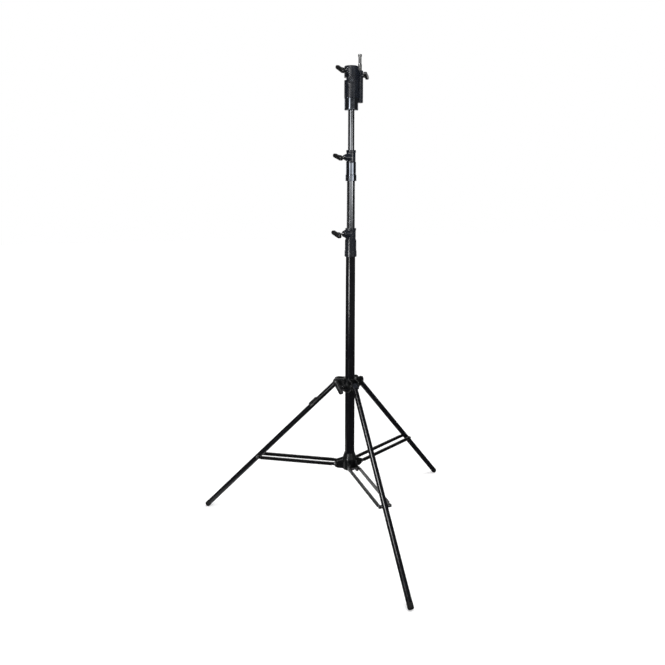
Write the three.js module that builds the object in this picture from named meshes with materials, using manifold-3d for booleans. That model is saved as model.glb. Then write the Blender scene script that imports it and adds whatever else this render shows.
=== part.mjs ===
// Combo stand: three folding legs, a base column, two risers and a head with a socket and a stud.
// Millimetres, Z up. The feet rest on z = 0, and the origin is the centre of the footprint.
import * as THREE from 'three';
import { mergeVertices } from 'three/addons/utils/BufferGeometryUtils.js';
import Module from 'manifold-3d';

const wasm = await Module();
wasm.setup();

// Fits
const fitGap = 0.3;
const slideGap = 0.4;
const overrun = 8;
const weldDistance = 0.0001;

// Facets round a full turn
const roundSides = 24;
const smallSides = 16;
const boltSides = 12;
const hexSides = 6;
const arcSteps = 4;

// Column tubes, with the least length of each riser that shows at rest
const baseTube = { diameter: 40, wall: 2, length: 958.5 };
const riser1 = { diameter: 35, wall: 1.75, length: 1058, shown: 198 };
const riser2 = { diameter: 28, wall: 1.75, length: 1135, shown: 167 };
const columnCap = { flange: 3, plugHeight: 14, plugWall: 3, chamfer: 1 };
const footBush = { flange: 4, plugHeight: 18, plugWall: 2.5, chamfer: 1, footRoom: 5 };

// Tripod: both pivot circles share one radius, so the legs fold parallel to the column
const pivotOverTube = 37;
const legSides = { right: 30, left: 150, front: 270 };
const legSlope = THREE.MathUtils.degToRad(44.8);
const leg = { diameter: 21.5, wall: 1.5, length: 817, bracePoint: 483 };
const foot = { lip: 0.5, height: 20, stemLength: 28, chamfer: 3, wear: 1 };
const legPlug = { sideRoom: 0.25, noseHeight: 20, noseLength: 14, spigotLength: 30 };
const legClip = { start: 115, length: 42, wall: 1.9, padWidth: 12, padHeight: 4, wrap: 200 };
const brace = { height: 13, thickness: 3, spacerLength: 7.75 };
const braceFlange = { reach: 3.5, wall: 1.6, start: 14 };
const pivotBolt = { diameter: 6, headWidth: 11, headHeight: 3, nutHeight: 4 };
const braceSpacer = { diameter: 12 };

// Lower hub that carries the braces
const hub = {
  pivotHeight: 240.5, pivotOverUnderside: 21, ringHeight: 44, taperHeight: 24,
  ringWall: 9.2, neckWall: 1, chamfer: 2, earThickness: 5.5, earNose: 8,
};

// Sliding collar that carries the legs
const legCollar = {
  overPivot: 20, underPivot: 37, wall: 6.6, chamfer: 2, earThickness: 5.5, earNose: 14, earTop: 19,
  bossDiameter: 24, bossLength: 14, lockUnderPivot: 12,
};

// Clamping collars on the base tube and on riser 1
const baseCollar = {
  bandHeight: 25, sleeveHeight: 46, clampHeight: 39, lipHeight: 10,
  bandWall: 5.45, sleeveWall: 4.2, clampWall: 3.85, lipWall: 5.1,
  bossDiameter: 26, bossRootDiameter: 36, bossLength: 17.25, chamfer: 1, lockShare: 0.65,
};
const riser1Collar = {
  bandHeight: 25, sleeveHeight: 53, clampHeight: 42, lipHeight: 10,
  bandWall: 6.2, sleeveWall: 3.95, clampWall: 5.1, lipWall: 6.6,
  bossDiameter: 20, bossRootDiameter: 34, bossLength: 19.5, chamfer: 1, lockShare: 0.5,
};
const collarBush = { height: 12, wall: 2 };
const rivet = { diameter: 5, depth: 3, proud: 0.6, azimuth: 199 };

// Combo head: the bore round riser 2 is the socket for a 28 mm spigot, with a 16 mm stud beside it
const head = {
  sleeveHeight: 50, castingHeight: 137, wall: 16.2, sleeveStep: 0.3, chamfer: 3, tubeDepth: 75,
};
const studHolder = {
  overHead: 10.5, wall: 5.5, height: 137, underRim: 16, floor: 5, webWidth: 22, webUnderRim: 4,
  chamfer: 2, azimuth: 10,
};
const stud = {
  diameter: 16, length: 150, shown: 70, capHeight: 12, waistHeight: 30, waistDepth: 1.5, chamfer: 1.5,
};
const socketBoss = { diameter: 22, length: 3.5, underRim: 19 };
const studBoss = { diameter: 19, length: 0.7, underRim: 38, azimuth: 328 };
const stopScrew = {
  bossDiameter: 24, bossLength: 2.5, diameter: 11, keyWidth: 5, keyDepth: 3, depth: 8, underRim: 63,
  azimuth: 251,
};
const safetySlot = { height: 12, depth: 9, underRim: 55, azimuth: 161 };

// T-handle locks, all of one pattern, the stud's on a shorter hub;
// the standoff is from the boss to the middle of the bar
const knob = {
  barLength: 58, barWidth: 17, barDepth: 14, bevel: 2,
  hubDiameter: 19, hubRootDiameter: 16, hubLength: 18,
};
const lockScrewDiameter = 9;
const lockPad = { diameter: 12, thickness: 3 };
const columnLocks = { azimuth: 200, tilt: -20 };
const baseLock = { standoff: 37 };
const riser1Lock = { standoff: 31 };
const socketLock = { standoff: 26, tilt: -31 };
const studLock = { standoff: 12.5, tilt: -15, hubLength: 11.5 };
const legLock = { standoff: 21, tilt: -44, azimuth: 202 };

// Places worked out from the sizes above
const pivotRadius = baseTube.diameter / 2 + pivotOverTube;
const legRadius = leg.diameter / 2;
const footRadius = legRadius + foot.lip;
const footDrop = Math.max(
  (footRadius - foot.chamfer) * Math.cos(legSlope),
  footRadius * Math.cos(legSlope) - foot.chamfer * Math.sin(legSlope),
);
const legEndHeight = footDrop - foot.wear;
const legPivotHeight = legEndHeight + leg.length * Math.sin(legSlope);
const braceOuterRadius = pivotRadius + leg.bracePoint * Math.cos(legSlope);
const braceOuterHeight = legPivotHeight - leg.bracePoint * Math.sin(legSlope);
const braceRun = braceOuterRadius - pivotRadius;
const braceRise = braceOuterHeight - hub.pivotHeight;
const braceLength = Math.hypot(braceRun, braceRise);
const braceSlope = Math.atan2(braceRise, braceRun);
const stripInner = legRadius + brace.spacerLength;
const stripOuter = stripInner + brace.thickness;
const stripMiddle = stripInner + brace.thickness / 2;
const hubUnderside = hub.pivotHeight - hub.pivotOverUnderside;
const baseTubeBottom = hubUnderside + columnCap.flange + fitGap;
const baseCollarShoulder = baseTubeBottom + baseTube.length + fitGap;
const baseCollarBottom = baseCollarShoulder - baseCollar.bandHeight - baseCollar.sleeveHeight;
const baseCollarTop = baseCollarShoulder + baseCollar.clampHeight + baseCollar.lipHeight;
const riser1Shoulder = riser1Collar.bandHeight + riser1Collar.sleeveHeight;
const riser1TubeBottom = riser1Shoulder - fitGap - riser1.length;
const riser1Floor = hubUnderside + columnCap.flange + columnCap.plugHeight + footBush.footRoom;
const riser1Bottom = Math.max(
  baseCollarTop + riser1.shown,
  riser1Floor + footBush.flange - riser1TubeBottom,
);
const riser1Top = riser1Bottom + riser1Shoulder + riser1Collar.clampHeight + riser1Collar.lipHeight;
const riser2TubeBottom = head.tubeDepth - riser2.length;
const riser2Floor = riser1Bottom + riser1TubeBottom + footBush.plugHeight + footBush.footRoom;
const headBottom = Math.max(
  riser1Top + riser2.shown,
  riser2Floor + footBush.flange - riser2TubeBottom,
);
const headHeight = head.sleeveHeight + head.castingHeight;
const socketRadius = riser2.diameter / 2 + fitGap;
const headRadius = socketRadius + head.wall;
const studBoreRadius = stud.diameter / 2 + fitGap;
const holderRadius = studBoreRadius + studHolder.wall;
const holderOffset = headRadius + studHolder.overHead;
const holderTop = headHeight - studHolder.underRim;
const holderBottom = holderTop - studHolder.height;
const baseBossReach = clampRadius(baseCollar, baseTube, riser1) + baseCollar.bossLength;
const riser1BossReach = clampRadius(riser1Collar, riser1, riser2) + riser1Collar.bossLength;
const legBossReach = baseTube.diameter / 2 + slideGap + legCollar.wall + legCollar.bossLength;
const socketBossReach = headRadius + socketBoss.length;
const studBossReach = holderRadius + studBoss.length;
const stopBossReach = headRadius + stopScrew.bossLength;
const stopScrewStart = stopBossReach - stopScrew.depth;
const socketLockSide = columnLocks.azimuth - studHolder.azimuth;
const studLockSide = studBoss.azimuth - studHolder.azimuth;
const stopScrewSide = stopScrew.azimuth - studHolder.azimuth;

// Finishes, one for each kind of surface
const finishes = {
  glossBlack: { color: 0x0c0c11, roughness: 0.22, metalness: 0 },
  blackCasting: { color: 0x1e2430, roughness: 0.45, metalness: 0.2 },
  darkChrome: { color: 0x585c60, roughness: 0.2, metalness: 0.9 },
  brightChrome: { color: 0xb9babb, roughness: 0.15, metalness: 1 },
  zincSteel: { color: 0x8d9094, roughness: 0.35, metalness: 1 },
  braceBlack: { color: 0x2e2e30, roughness: 0.4, metalness: 0.1 },
  blackPlastic: { color: 0x141416, roughness: 0.5, metalness: 0 },
  blackRubber: { color: 0x17171a, roughness: 0.85, metalness: 0 },
  nylon: { color: 0x26262a, roughness: 0.6, metalness: 0 },
  brass: { color: 0xb08d4a, roughness: 0.4, metalness: 1 },
};

const axisX = new THREE.Vector3(1, 0, 0);
const turn = THREE.MathUtils.degToRad;

// A solid from a closed three.js geometry
function solidOf(geometry) {
  geometry.deleteAttribute('normal');
  geometry.deleteAttribute('uv');
  const merged = mergeVertices(geometry, weldDistance);
  const corners = merged.index.array;
  const kept = [];
  for (let i = 0; i < corners.length; i += 3) {
    const [a, b, c] = corners.slice(i, i + 3);
    if (a !== b && b !== c && c !== a) kept.push(a, b, c);
  }
  const vertProperties = new Float32Array(merged.attributes.position.array);
  const triVerts = new Uint32Array(kept);
  return new wasm.Manifold(new wasm.Mesh({ numProp: 3, vertProperties, triVerts }));
}

// A named mesh from a solid, with a material of its own
function meshOf(name, solid, finish) {
  const { vertProperties, triVerts } = solid.getMesh();
  const geometry = new THREE.BufferGeometry();
  geometry.setAttribute('position', new THREE.BufferAttribute(vertProperties, 3));
  geometry.setIndex(new THREE.BufferAttribute(triVerts, 1));
  geometry.computeVertexNormals();
  const mesh = new THREE.Mesh(geometry, new THREE.MeshStandardMaterial(finishes[finish]));
  mesh.name = name;
  return mesh;
}

// A group turned about Z by an azimuth in degrees, at a height
function aimed(azimuth, height, ...children) {
  const group = new THREE.Group();
  group.rotation.z = turn(azimuth);
  group.position.z = height;
  group.add(...children);
  return group;
}

function raised(height, ...children) {
  return aimed(0, height, ...children);
}

// A profile of [radius, height] corners, anticlockwise, turned about Z
function turned(profile, sides = roundSides) {
  const corners = profile.map(([radius, height]) => new THREE.Vector2(radius, height));
  const [first] = corners;
  if (first.x > 0) corners.push(first.clone());
  return solidOf(new THREE.LatheGeometry(corners, sides).rotateX(Math.PI / 2));
}

// Round bars along X, Y and Z, from one place to another, straight or tapered
function bar(from, to, startRadius, endRadius, sides) {
  const length = to - from;
  const geometry = new THREE.CylinderGeometry(endRadius, startRadius, length, sides);
  return geometry.translate(0, from + length / 2, 0);
}

function barX(from, to, startRadius, endRadius = startRadius, sides = smallSides) {
  return solidOf(bar(from, to, startRadius, endRadius, sides).rotateZ(-Math.PI / 2));
}

function barY(from, to, radius, sides = boltSides) {
  return solidOf(bar(from, to, radius, radius, sides));
}

function barZ(from, to, startRadius, endRadius = startRadius, sides = roundSides) {
  return solidOf(bar(from, to, startRadius, endRadius, sides).rotateX(Math.PI / 2));
}

function block(lowX, highX, lowY, highY, lowZ, highZ) {
  const geometry = new THREE.BoxGeometry(highX - lowX, highY - lowY, highZ - lowZ);
  return solidOf(geometry.translate((lowX + highX) / 2, (lowY + highY) / 2, (lowZ + highZ) / 2));
}

// An outline in X and Z, extruded along Y
function plate(outline, lowY, highY) {
  const settings = { depth: highY - lowY, bevelEnabled: false, curveSegments: arcSteps };
  const geometry = new THREE.ExtrudeGeometry(outline, settings);
  return solidOf(geometry.rotateX(Math.PI / 2).translate(0, highY, 0));
}

function spun(solid, azimuth) {
  return solid.rotate([0, 0, azimuth]);
}

function tubeSolid(tube, sides = roundSides) {
  const outer = tube.diameter / 2;
  const inner = outer - tube.wall;
  return turned([[inner, 0], [outer, 0], [outer, tube.length], [inner, tube.length]], sides);
}

// The clamp part of a collar is wide enough to cap the tube that its sleeve sits on
function clampRadius(collar, outerTube, innerTube) {
  const wrapped = innerTube.diameter / 2 + slideGap + collar.clampWall;
  return Math.max(wrapped, outerTube.diameter / 2 + fitGap + collar.chamfer);
}

// A clamping collar, standing on z = 0: it grips one tube from above and guides a thinner one
function collarSolid(collar, outerTube, innerTube, bossReach) {
  const seat = outerTube.diameter / 2 + fitGap;
  const bore = innerTube.diameter / 2 + slideGap;
  const bushSeat = bore + collarBush.wall;
  const shoulder = collar.bandHeight + collar.sleeveHeight;
  const lipBottom = shoulder + collar.clampHeight;
  const top = lipBottom + collar.lipHeight;
  const bushBottom = top - collarBush.height;
  const band = seat + collar.bandWall;
  const sleeve = seat + collar.sleeveWall;
  const clamp = clampRadius(collar, outerTube, innerTube);
  const lip = Math.max(bore + collar.lipWall, clamp);
  const edge = collar.chamfer;
  const ring = turned([
    [seat, 0],
    [band - edge, 0],
    [band, edge],
    [band, collar.bandHeight - edge],
    [sleeve, collar.bandHeight],
    [sleeve, shoulder - edge],
    [clamp, shoulder],
    [clamp, lipBottom - edge],
    [lip, lipBottom],
    [lip, top - edge],
    [lip - edge, top],
    [bushSeat, top],
    [bushSeat, bushBottom],
    [bore, bushBottom],
    [bore, shoulder],
    [seat, shoulder],
  ]);
  const lockHeight = collarLockHeight(collar);
  const boss = barX(0, bossReach, collar.bossRootDiameter / 2, collar.bossDiameter / 2);
  const hollow = barZ(shoulder - collar.bandHeight, top + overrun, bore)
    .add(barZ(bushBottom, top + overrun, bushSeat));
  return ring.add(boss.translate([0, 0, lockHeight]).subtract(hollow))
    .subtract(lockBore(innerTube.diameter / 2, bossReach).translate([0, 0, lockHeight]));
}

function collarLockHeight(collar) {
  return collar.bandHeight + collar.sleeveHeight + collar.clampHeight * collar.lockShare;
}

// The hole for a T-screw along X, with a pocket for its pad next to what it clamps
function lockBore(innerRadius, reach) {
  const pocketDepth = innerRadius + slideGap + lockPad.thickness + fitGap;
  return barX(0, reach + overrun, lockScrewDiameter / 2 + fitGap)
    .add(barX(0, pocketDepth, lockPad.diameter / 2 + fitGap));
}

function collarBushSolid(innerTube) {
  const inner = innerTube.diameter / 2 + fitGap;
  const outer = innerTube.diameter / 2 + slideGap + collarBush.wall - fitGap;
  const height = collarBush.height - fitGap;
  return turned([[inner, 0], [outer, 0], [outer, height], [inner, height]]);
}

// A bush plugged into the bottom end of a riser, z = 0 at the tube's end
function footBushSolid(tube, carrier) {
  const flange = carrier.diameter / 2 - carrier.wall - fitGap;
  const plug = tube.diameter / 2 - tube.wall - fitGap;
  const edge = footBush.chamfer;
  return turned([
    [plug - footBush.plugWall, -footBush.flange],
    [flange - edge, -footBush.flange],
    [flange, edge - footBush.flange],
    [flange, -fitGap],
    [plug, -fitGap],
    [plug, footBush.plugHeight],
    [plug - footBush.plugWall, footBush.plugHeight],
  ]);
}

function rivetSolid(surfaceRadius, seatRadius) {
  const depth = Math.min(rivet.depth, surfaceRadius - seatRadius - fitGap);
  return barX(surfaceRadius - depth, surfaceRadius + rivet.proud, rivet.diameter / 2);
}

function rivetHole(surfaceRadius) {
  return barX(0, surfaceRadius + overrun, rivet.diameter / 2 + fitGap);
}

// T-handle: a round-ended bar along Y on a hub that points back to the axis, bar centre at x = 0
function knobSolid(hubLength) {
  const endRadius = knob.barWidth / 2;
  const halfRun = knob.barLength / 2 - endRadius;
  const outline = new THREE.Shape();
  outline.absarc(halfRun, 0, endRadius, -Math.PI / 2, Math.PI / 2);
  outline.absarc(-halfRun, 0, endRadius, Math.PI / 2, Math.PI * 3 / 2);
  outline.closePath();
  const geometry = new THREE.ExtrudeGeometry(outline, {
    depth: knob.barDepth - 2 * knob.bevel,
    bevelThickness: knob.bevel,
    bevelSize: knob.bevel,
    bevelOffset: -knob.bevel,
    bevelSegments: 1,
    curveSegments: arcSteps,
  });
  geometry.translate(0, 0, knob.bevel - knob.barDepth / 2);
  geometry.rotateX(Math.PI / 2).rotateZ(Math.PI / 2);
  const hubPart = barX(-hubLength, 0, knob.hubRootDiameter / 2, knob.hubDiameter / 2);
  const hole = barX(-hubLength - overrun, 0, lockScrewDiameter / 2 + fitGap);
  return solidOf(geometry).add(hubPart).subtract(hole);
}

// The turning pieces of a lock: bar middle at `reach` from the axis, screw from the pad outwards
function lockMeshes(name, reach, screwStart, tilt, hubLength = knob.hubLength) {
  const knobMesh = meshOf(`${name}_knob`, knobSolid(hubLength), 'blackPlastic');
  const screwLength = reach - fitGap - screwStart;
  const screwMesh = meshOf(
    `${name}_screw`,
    barX(0, screwLength, lockScrewDiameter / 2),
    'zincSteel',
  );
  knobMesh.position.x = reach;
  knobMesh.setRotationFromAxisAngle(axisX, turn(tilt));
  screwMesh.position.x = screwStart;
  return [knobMesh, screwMesh];
}

function padSolid(innerRadius) {
  const start = innerRadius + fitGap;
  return barX(start, start + lockPad.thickness, lockPad.diameter / 2);
}

function screwStartOver(innerRadius) {
  return innerRadius + lockPad.thickness + 2 * fitGap;
}

// Hub and leg collar share this ear: a web in X and Z that ends in a round nose at the pivot
function earPair(outline, inner, thickness) {
  const ear = plate(outline, inner, inner + thickness);
  return ear.add(plate(outline, -inner - thickness, -inner));
}

function onThreeSides(solid, piece) {
  return Object.values(legSides).reduce((joined, azimuth) => joined.add(spun(piece, azimuth)), solid);
}

function cutOnThreeSides(solid, piece) {
  return Object.values(legSides).reduce((left, azimuth) => left.subtract(spun(piece, azimuth)), solid);
}

// Lower hub, z = 0 at its underside
function hubSolid() {
  const seat = baseTube.diameter / 2 + fitGap;
  const ring = seat + hub.ringWall;
  const neck = seat + hub.neckWall;
  const top = hub.ringHeight + hub.taperHeight;
  const body = turned([
    [seat, columnCap.flange],
    [ring - hub.chamfer, columnCap.flange],
    [ring, columnCap.flange + hub.chamfer],
    [ring, hub.ringHeight],
    [neck, top],
    [seat, top],
  ]);
  const pivot = hub.pivotOverUnderside;
  const outline = new THREE.Shape();
  outline.moveTo(seat + fitGap, columnCap.flange);
  outline.lineTo(pivotRadius - hub.earNose, columnCap.flange);
  outline.quadraticCurveTo(
    pivotRadius + hub.earNose,
    columnCap.flange,
    pivotRadius + hub.earNose,
    pivot,
  );
  outline.absarc(pivotRadius, pivot, hub.earNose, 0, Math.PI / 3);
  outline.lineTo(ring - hub.chamfer, hub.ringHeight - hub.chamfer);
  outline.lineTo(seat + fitGap, hub.ringHeight - hub.chamfer);
  outline.closePath();
  const outer = stripInner - fitGap;
  const ears = earPair(outline, outer - hub.earThickness, hub.earThickness);
  const bolt = barY(-outer - overrun, outer + overrun, pivotBolt.diameter / 2 + fitGap);
  const drilled = cutOnThreeSides(
    onThreeSides(body, ears),
    bolt.translate([pivotRadius, 0, pivot]),
  );
  return drilled.subtract(barZ(-overrun, top + overrun, seat));
}

function columnCapSolid() {
  const flange = baseTube.diameter / 2 + fitGap + hub.ringWall - hub.chamfer;
  const plug = baseTube.diameter / 2 - baseTube.wall - fitGap;
  const edge = columnCap.chamfer;
  const top = columnCap.flange + columnCap.plugHeight;
  return turned([
    [0, 0],
    [flange - edge, 0],
    [flange, edge],
    [flange, columnCap.flange - fitGap],
    [plug, columnCap.flange - fitGap],
    [plug, top],
    [plug - columnCap.plugWall, top],
    [plug - columnCap.plugWall, columnCap.flange],
    [0, columnCap.flange],
  ]);
}

// A pivot bolt along Y with a hexagon head and nut over two outer faces
function pivotBoltSolid(halfWidth) {
  const head = halfWidth + fitGap;
  const radius = pivotBolt.headWidth / Math.sqrt(3);
  return barY(-head, head, pivotBolt.diameter / 2)
    .add(barY(-head - pivotBolt.headHeight, -head, radius, hexSides))
    .add(barY(head, head + pivotBolt.nutHeight, radius, hexSides));
}

function hubBoltMesh(side) {
  const mesh = meshOf(`hub_bolt_${side}`, pivotBoltSolid(stripOuter), 'zincSteel');
  mesh.position.set(pivotRadius, 0, hub.pivotHeight);
  return aimed(legSides[side], 0, mesh);
}

// Leg collar, z = 0 at the leg pivots
const legEarInner = legRadius + legPlug.sideRoom + fitGap;

function legCollarSolid() {
  const bore = baseTube.diameter / 2 + slideGap;
  const outer = bore + legCollar.wall;
  const edge = legCollar.chamfer;
  const top = legCollar.overPivot;
  const bottom = -legCollar.underPivot;
  const ring = turned([
    [bore, bottom],
    [outer - edge, bottom],
    [outer, bottom + edge],
    [outer, top - edge],
    [outer - edge, top],
    [bore, top],
  ]);
  const outline = new THREE.Shape();
  outline.moveTo(bore + edge, bottom + legCollar.chamfer);
  outline.lineTo(outer, bottom + legCollar.chamfer);
  outline.absarc(pivotRadius, 0, legCollar.earNose, -Math.PI / 3, 0);
  outline.quadraticCurveTo(
    pivotRadius + legCollar.earNose,
    legCollar.earTop,
    pivotRadius - legCollar.chamfer,
    legCollar.earTop,
  );
  outline.lineTo(bore + edge, legCollar.earTop);
  outline.closePath();
  const ears = earPair(outline, legEarInner, legCollar.earThickness);
  const reach = legEarInner + legCollar.earThickness + overrun;
  const bolt = barY(-reach, reach, pivotBolt.diameter / 2 + fitGap).translate([pivotRadius, 0, 0]);
  const boss = spun(barX(0, legBossReach, legCollar.bossDiameter / 2), legLock.azimuth);
  const lock = spun(lockBore(baseTube.diameter / 2, legBossReach), legLock.azimuth);
  const lockHeight = [0, 0, -legCollar.lockUnderPivot];
  const body = onThreeSides(ring, ears).add(boss.translate(lockHeight));
  return cutOnThreeSides(body, bolt)
    .subtract(barZ(bottom - overrun, top + overrun, bore))
    .subtract(lock.translate(lockHeight));
}

function legBoltMesh(side) {
  const halfWidth = legEarInner + legCollar.earThickness;
  const mesh = meshOf(`leg_bolt_${side}`, pivotBoltSolid(halfWidth), 'zincSteel');
  mesh.position.x = pivotRadius;
  return aimed(legSides[side], 0, mesh);
}

// A leg, along X from its top pivot at x = 0
function legPlugSolid() {
  const nose = legPlug.noseHeight / 2;
  const outline = new THREE.Shape();
  outline.absarc(0, 0, nose, Math.PI / 2, Math.PI * 3 / 2);
  outline.lineTo(legPlug.noseLength, -nose);
  outline.lineTo(legPlug.noseLength, nose);
  outline.closePath();
  const side = legRadius + legPlug.sideRoom - fitGap;
  const spigotRadius = legRadius - leg.wall - fitGap;
  const spigotEnd = legPlug.noseLength + legPlug.spigotLength;
  return plate(outline, -side, side)
    .add(barX(nose / 2, spigotEnd, spigotRadius))
    .subtract(barY(-leg.diameter, leg.diameter, pivotBolt.diameter / 2 + fitGap));
}

function legTubeSolid() {
  const start = legPlug.noseLength + fitGap;
  const end = leg.length - foot.height - fitGap;
  const inner = legRadius - leg.wall;
  return turned([[inner, start], [legRadius, start], [legRadius, end], [inner, end]], smallSides)
    .rotate([0, 90, 0]);
}

function footSolid() {
  const stem = legRadius - leg.wall - fitGap;
  const rim = leg.length - foot.height;
  const plug = turned([
    [0, rim - foot.stemLength],
    [stem, rim - foot.stemLength],
    [stem, rim],
    [footRadius, rim],
    [footRadius, leg.length - foot.chamfer],
    [footRadius - foot.chamfer, leg.length],
    [0, leg.length],
  ], smallSides).rotate([0, 90, 0]);
  const span = 2 * foot.height;
  const ground = block(-span, span, -span, span, -span, 0)
    .translate([0, 0, -legEndHeight])
    .rotate([0, -THREE.MathUtils.radToDeg(legSlope), 0])
    .translate([leg.length, 0, 0]);
  return plug.subtract(ground);
}

// A clip that snaps over the top of the left leg, with a raised pad
function legClipSolid() {
  const inner = legRadius + fitGap;
  const outer = inner + legClip.wall;
  const half = turn(legClip.wrap / 2);
  const outline = new THREE.Shape();
  outline.absarc(0, 0, outer, -half, half);
  outline.absarc(0, 0, inner, half, -half, true);
  outline.closePath();
  const settings = { depth: legClip.length, bevelEnabled: false, curveSegments: 2 * arcSteps };
  const band = solidOf(new THREE.ExtrudeGeometry(outline, settings).rotateY(-Math.PI / 2));
  const padTop = legRadius + legClip.padHeight;
  const halfPad = legClip.padWidth / 2;
  const pad = block(-legClip.length, 0, -halfPad, halfPad, outer - legClip.wall / 2, padTop);
  return band.add(pad).translate([legClip.start + legClip.length, 0, 0]);
}

function legGroup(side) {
  const inclined = new THREE.Group();
  inclined.position.set(pivotRadius, 0, legPivotHeight);
  inclined.rotation.y = legSlope;
  inclined.add(
    meshOf(`leg_plug_${side}`, legPlugSolid(), 'blackCasting'),
    meshOf(`leg_tube_${side}`, legTubeSolid(), 'glossBlack'),
    meshOf(`foot_${side}`, footSolid(), 'blackRubber'),
  );
  if (side === 'left') inclined.add(meshOf('leg_clip', legClipSolid(), 'blackPlastic'));
  return aimed(legSides[side], 0, inclined);
}

function ordered(first, second) {
  return first < second ? [first, second] : [second, first];
}

// A brace, along X from its hub pivot at x = 0: two strips, a bolt and a nut that stop short of the leg.
// Each strip is a shallow channel, its two edges turned outward between the bolts.
function stripFlange(sign, edge) {
  const end = braceLength - braceFlange.start;
  const [lowY, highY] = ordered(sign * stripMiddle, sign * (stripOuter + braceFlange.reach));
  const [lowZ, highZ] = ordered(edge * (brace.height / 2 - braceFlange.wall), edge * brace.height / 2);
  return block(braceFlange.start, end, lowY, highY, lowZ, highZ);
}

function stripSolid(sign) {
  const half = brace.height / 2;
  const outline = new THREE.Shape();
  outline.absarc(0, 0, half, Math.PI / 2, Math.PI * 3 / 2);
  outline.absarc(braceLength, 0, half, -Math.PI / 2, Math.PI / 2);
  outline.closePath();
  const middle = sign * stripMiddle;
  const reach = brace.thickness / 2;
  const hole = barY(middle - overrun, middle + overrun, pivotBolt.diameter / 2 + fitGap);
  return plate(outline, middle - reach, middle + reach)
    .add(stripFlange(sign, 1))
    .add(stripFlange(sign, -1))
    .subtract(hole)
    .subtract(hole.translate([braceLength, 0, 0]));
}

function braceEndSolid(sign, capHeight) {
  const inner = legRadius + fitGap;
  const capStart = stripOuter + fitGap;
  const spacer = barY(inner, stripInner - fitGap, braceSpacer.diameter / 2);
  const shank = barY(inner, capStart, pivotBolt.diameter / 2);
  const capRadius = pivotBolt.headWidth / Math.sqrt(3);
  const cap = barY(capStart, capStart + capHeight, capRadius, hexSides);
  const solid = spacer.add(shank).add(cap);
  return sign > 0 ? solid : solid.rotate([0, 0, 180]);
}

function braceGroup(side) {
  const inclined = new THREE.Group();
  inclined.position.set(pivotRadius, 0, hub.pivotHeight);
  inclined.rotation.y = -braceSlope;
  const bolt = meshOf(`brace_bolt_${side}`, braceEndSolid(1, pivotBolt.headHeight), 'zincSteel');
  const nut = meshOf(`brace_nut_${side}`, braceEndSolid(-1, pivotBolt.nutHeight), 'zincSteel');
  bolt.position.x = braceLength;
  nut.position.x = braceLength;
  inclined.add(
    meshOf(`brace_strip_${side}_a`, stripSolid(1), 'braceBlack'),
    meshOf(`brace_strip_${side}_b`, stripSolid(-1), 'braceBlack'),
    bolt,
    nut,
  );
  return aimed(legSides[side], 0, inclined);
}

// Combo head, z = 0 at the underside of its sleeve, X through the stud
// A solid turned to one side of the head and lowered from its rim
function onHead(solid, side, underRim, offset = 0) {
  return spun(solid, side).translate([offset, 0, headHeight - underRim]);
}

function headCastingSolid() {
  const bottom = head.sleeveHeight + fitGap;
  const drum = turned([
    [0, bottom],
    [headRadius, bottom],
    [headRadius, headHeight - head.chamfer],
    [headRadius - head.chamfer, headHeight],
    [0, headHeight],
  ]);
  const holder = turned([
    [0, holderBottom],
    [holderRadius - studHolder.chamfer, holderBottom],
    [holderRadius, holderBottom + studHolder.chamfer],
    [holderRadius, holderTop - studHolder.chamfer],
    [holderRadius - studHolder.chamfer, holderTop],
    [0, holderTop],
  ], smallSides).translate([holderOffset, 0, 0]);
  const halfWeb = studHolder.webWidth / 2;
  const webTop = holderTop - studHolder.webUnderRim;
  const web = block(0, holderOffset, -halfWeb, halfWeb, bottom, webTop);
  const socketBossPart = barX(0, socketBossReach, socketBoss.diameter / 2);
  const studBossPart = barX(0, studBossReach, studBoss.diameter / 2);
  const stopBossPart = barX(0, stopBossReach, stopScrew.bossDiameter / 2);
  const bosses = [
    onHead(socketBossPart, socketLockSide, socketBoss.underRim),
    onHead(studBossPart, studLockSide, studBoss.underRim, holderOffset),
    onHead(stopBossPart, stopScrewSide, stopScrew.underRim),
  ];
  const screwHole = barX(0, studBossReach + overrun, lockScrewDiameter / 2 + fitGap);
  const stopHole = barX(
    stopScrewStart - fitGap,
    stopBossReach + overrun,
    stopScrew.diameter / 2 + fitGap,
  );
  const slotLow = -safetySlot.height / 2;
  const slotFloor = headRadius - safetySlot.depth;
  const slot = block(slotFloor, headRadius + overrun, -headRadius, headRadius, slotLow, -slotLow);
  const studBore = barZ(
    holderBottom + studHolder.floor,
    holderTop + overrun,
    studBoreRadius,
    studBoreRadius,
    smallSides,
  );
  const hollows = [
    barZ(bottom - overrun, headHeight + overrun, socketRadius),
    studBore.translate([holderOffset, 0, 0]),
    onHead(lockBore(socketRadius, socketBossReach), socketLockSide, socketBoss.underRim),
    onHead(screwHole, studLockSide, studBoss.underRim, holderOffset),
    onHead(stopHole, stopScrewSide, stopScrew.underRim),
    onHead(slot, safetySlot.azimuth - studHolder.azimuth, safetySlot.underRim),
  ];
  const casting = [web, ...bosses].reduce((joined, piece) => joined.add(piece), drum.add(holder));
  return hollows.reduce((left, hollow) => left.subtract(hollow), casting);
}

function stopScrewSolid() {
  const face = stopBossReach;
  const keyRadius = stopScrew.keyWidth / Math.sqrt(3);
  const key = barX(face - stopScrew.keyDepth, face + overrun, keyRadius, keyRadius, hexSides);
  return barX(stopScrewStart, face, stopScrew.diameter / 2).subtract(key);
}

function headSleeveSolid() {
  const outer = headRadius - head.sleeveStep;
  const ring = turned([
    [socketRadius, 0],
    [outer - head.chamfer, 0],
    [outer, head.chamfer],
    [outer, head.sleeveHeight],
    [socketRadius, head.sleeveHeight],
  ]);
  const reliefRadius = holderRadius + fitGap;
  const relief = barZ(holderBottom - fitGap, head.sleeveHeight + overrun, reliefRadius);
  return ring.subtract(relief.translate([holderOffset, 0, 0]));
}

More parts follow.
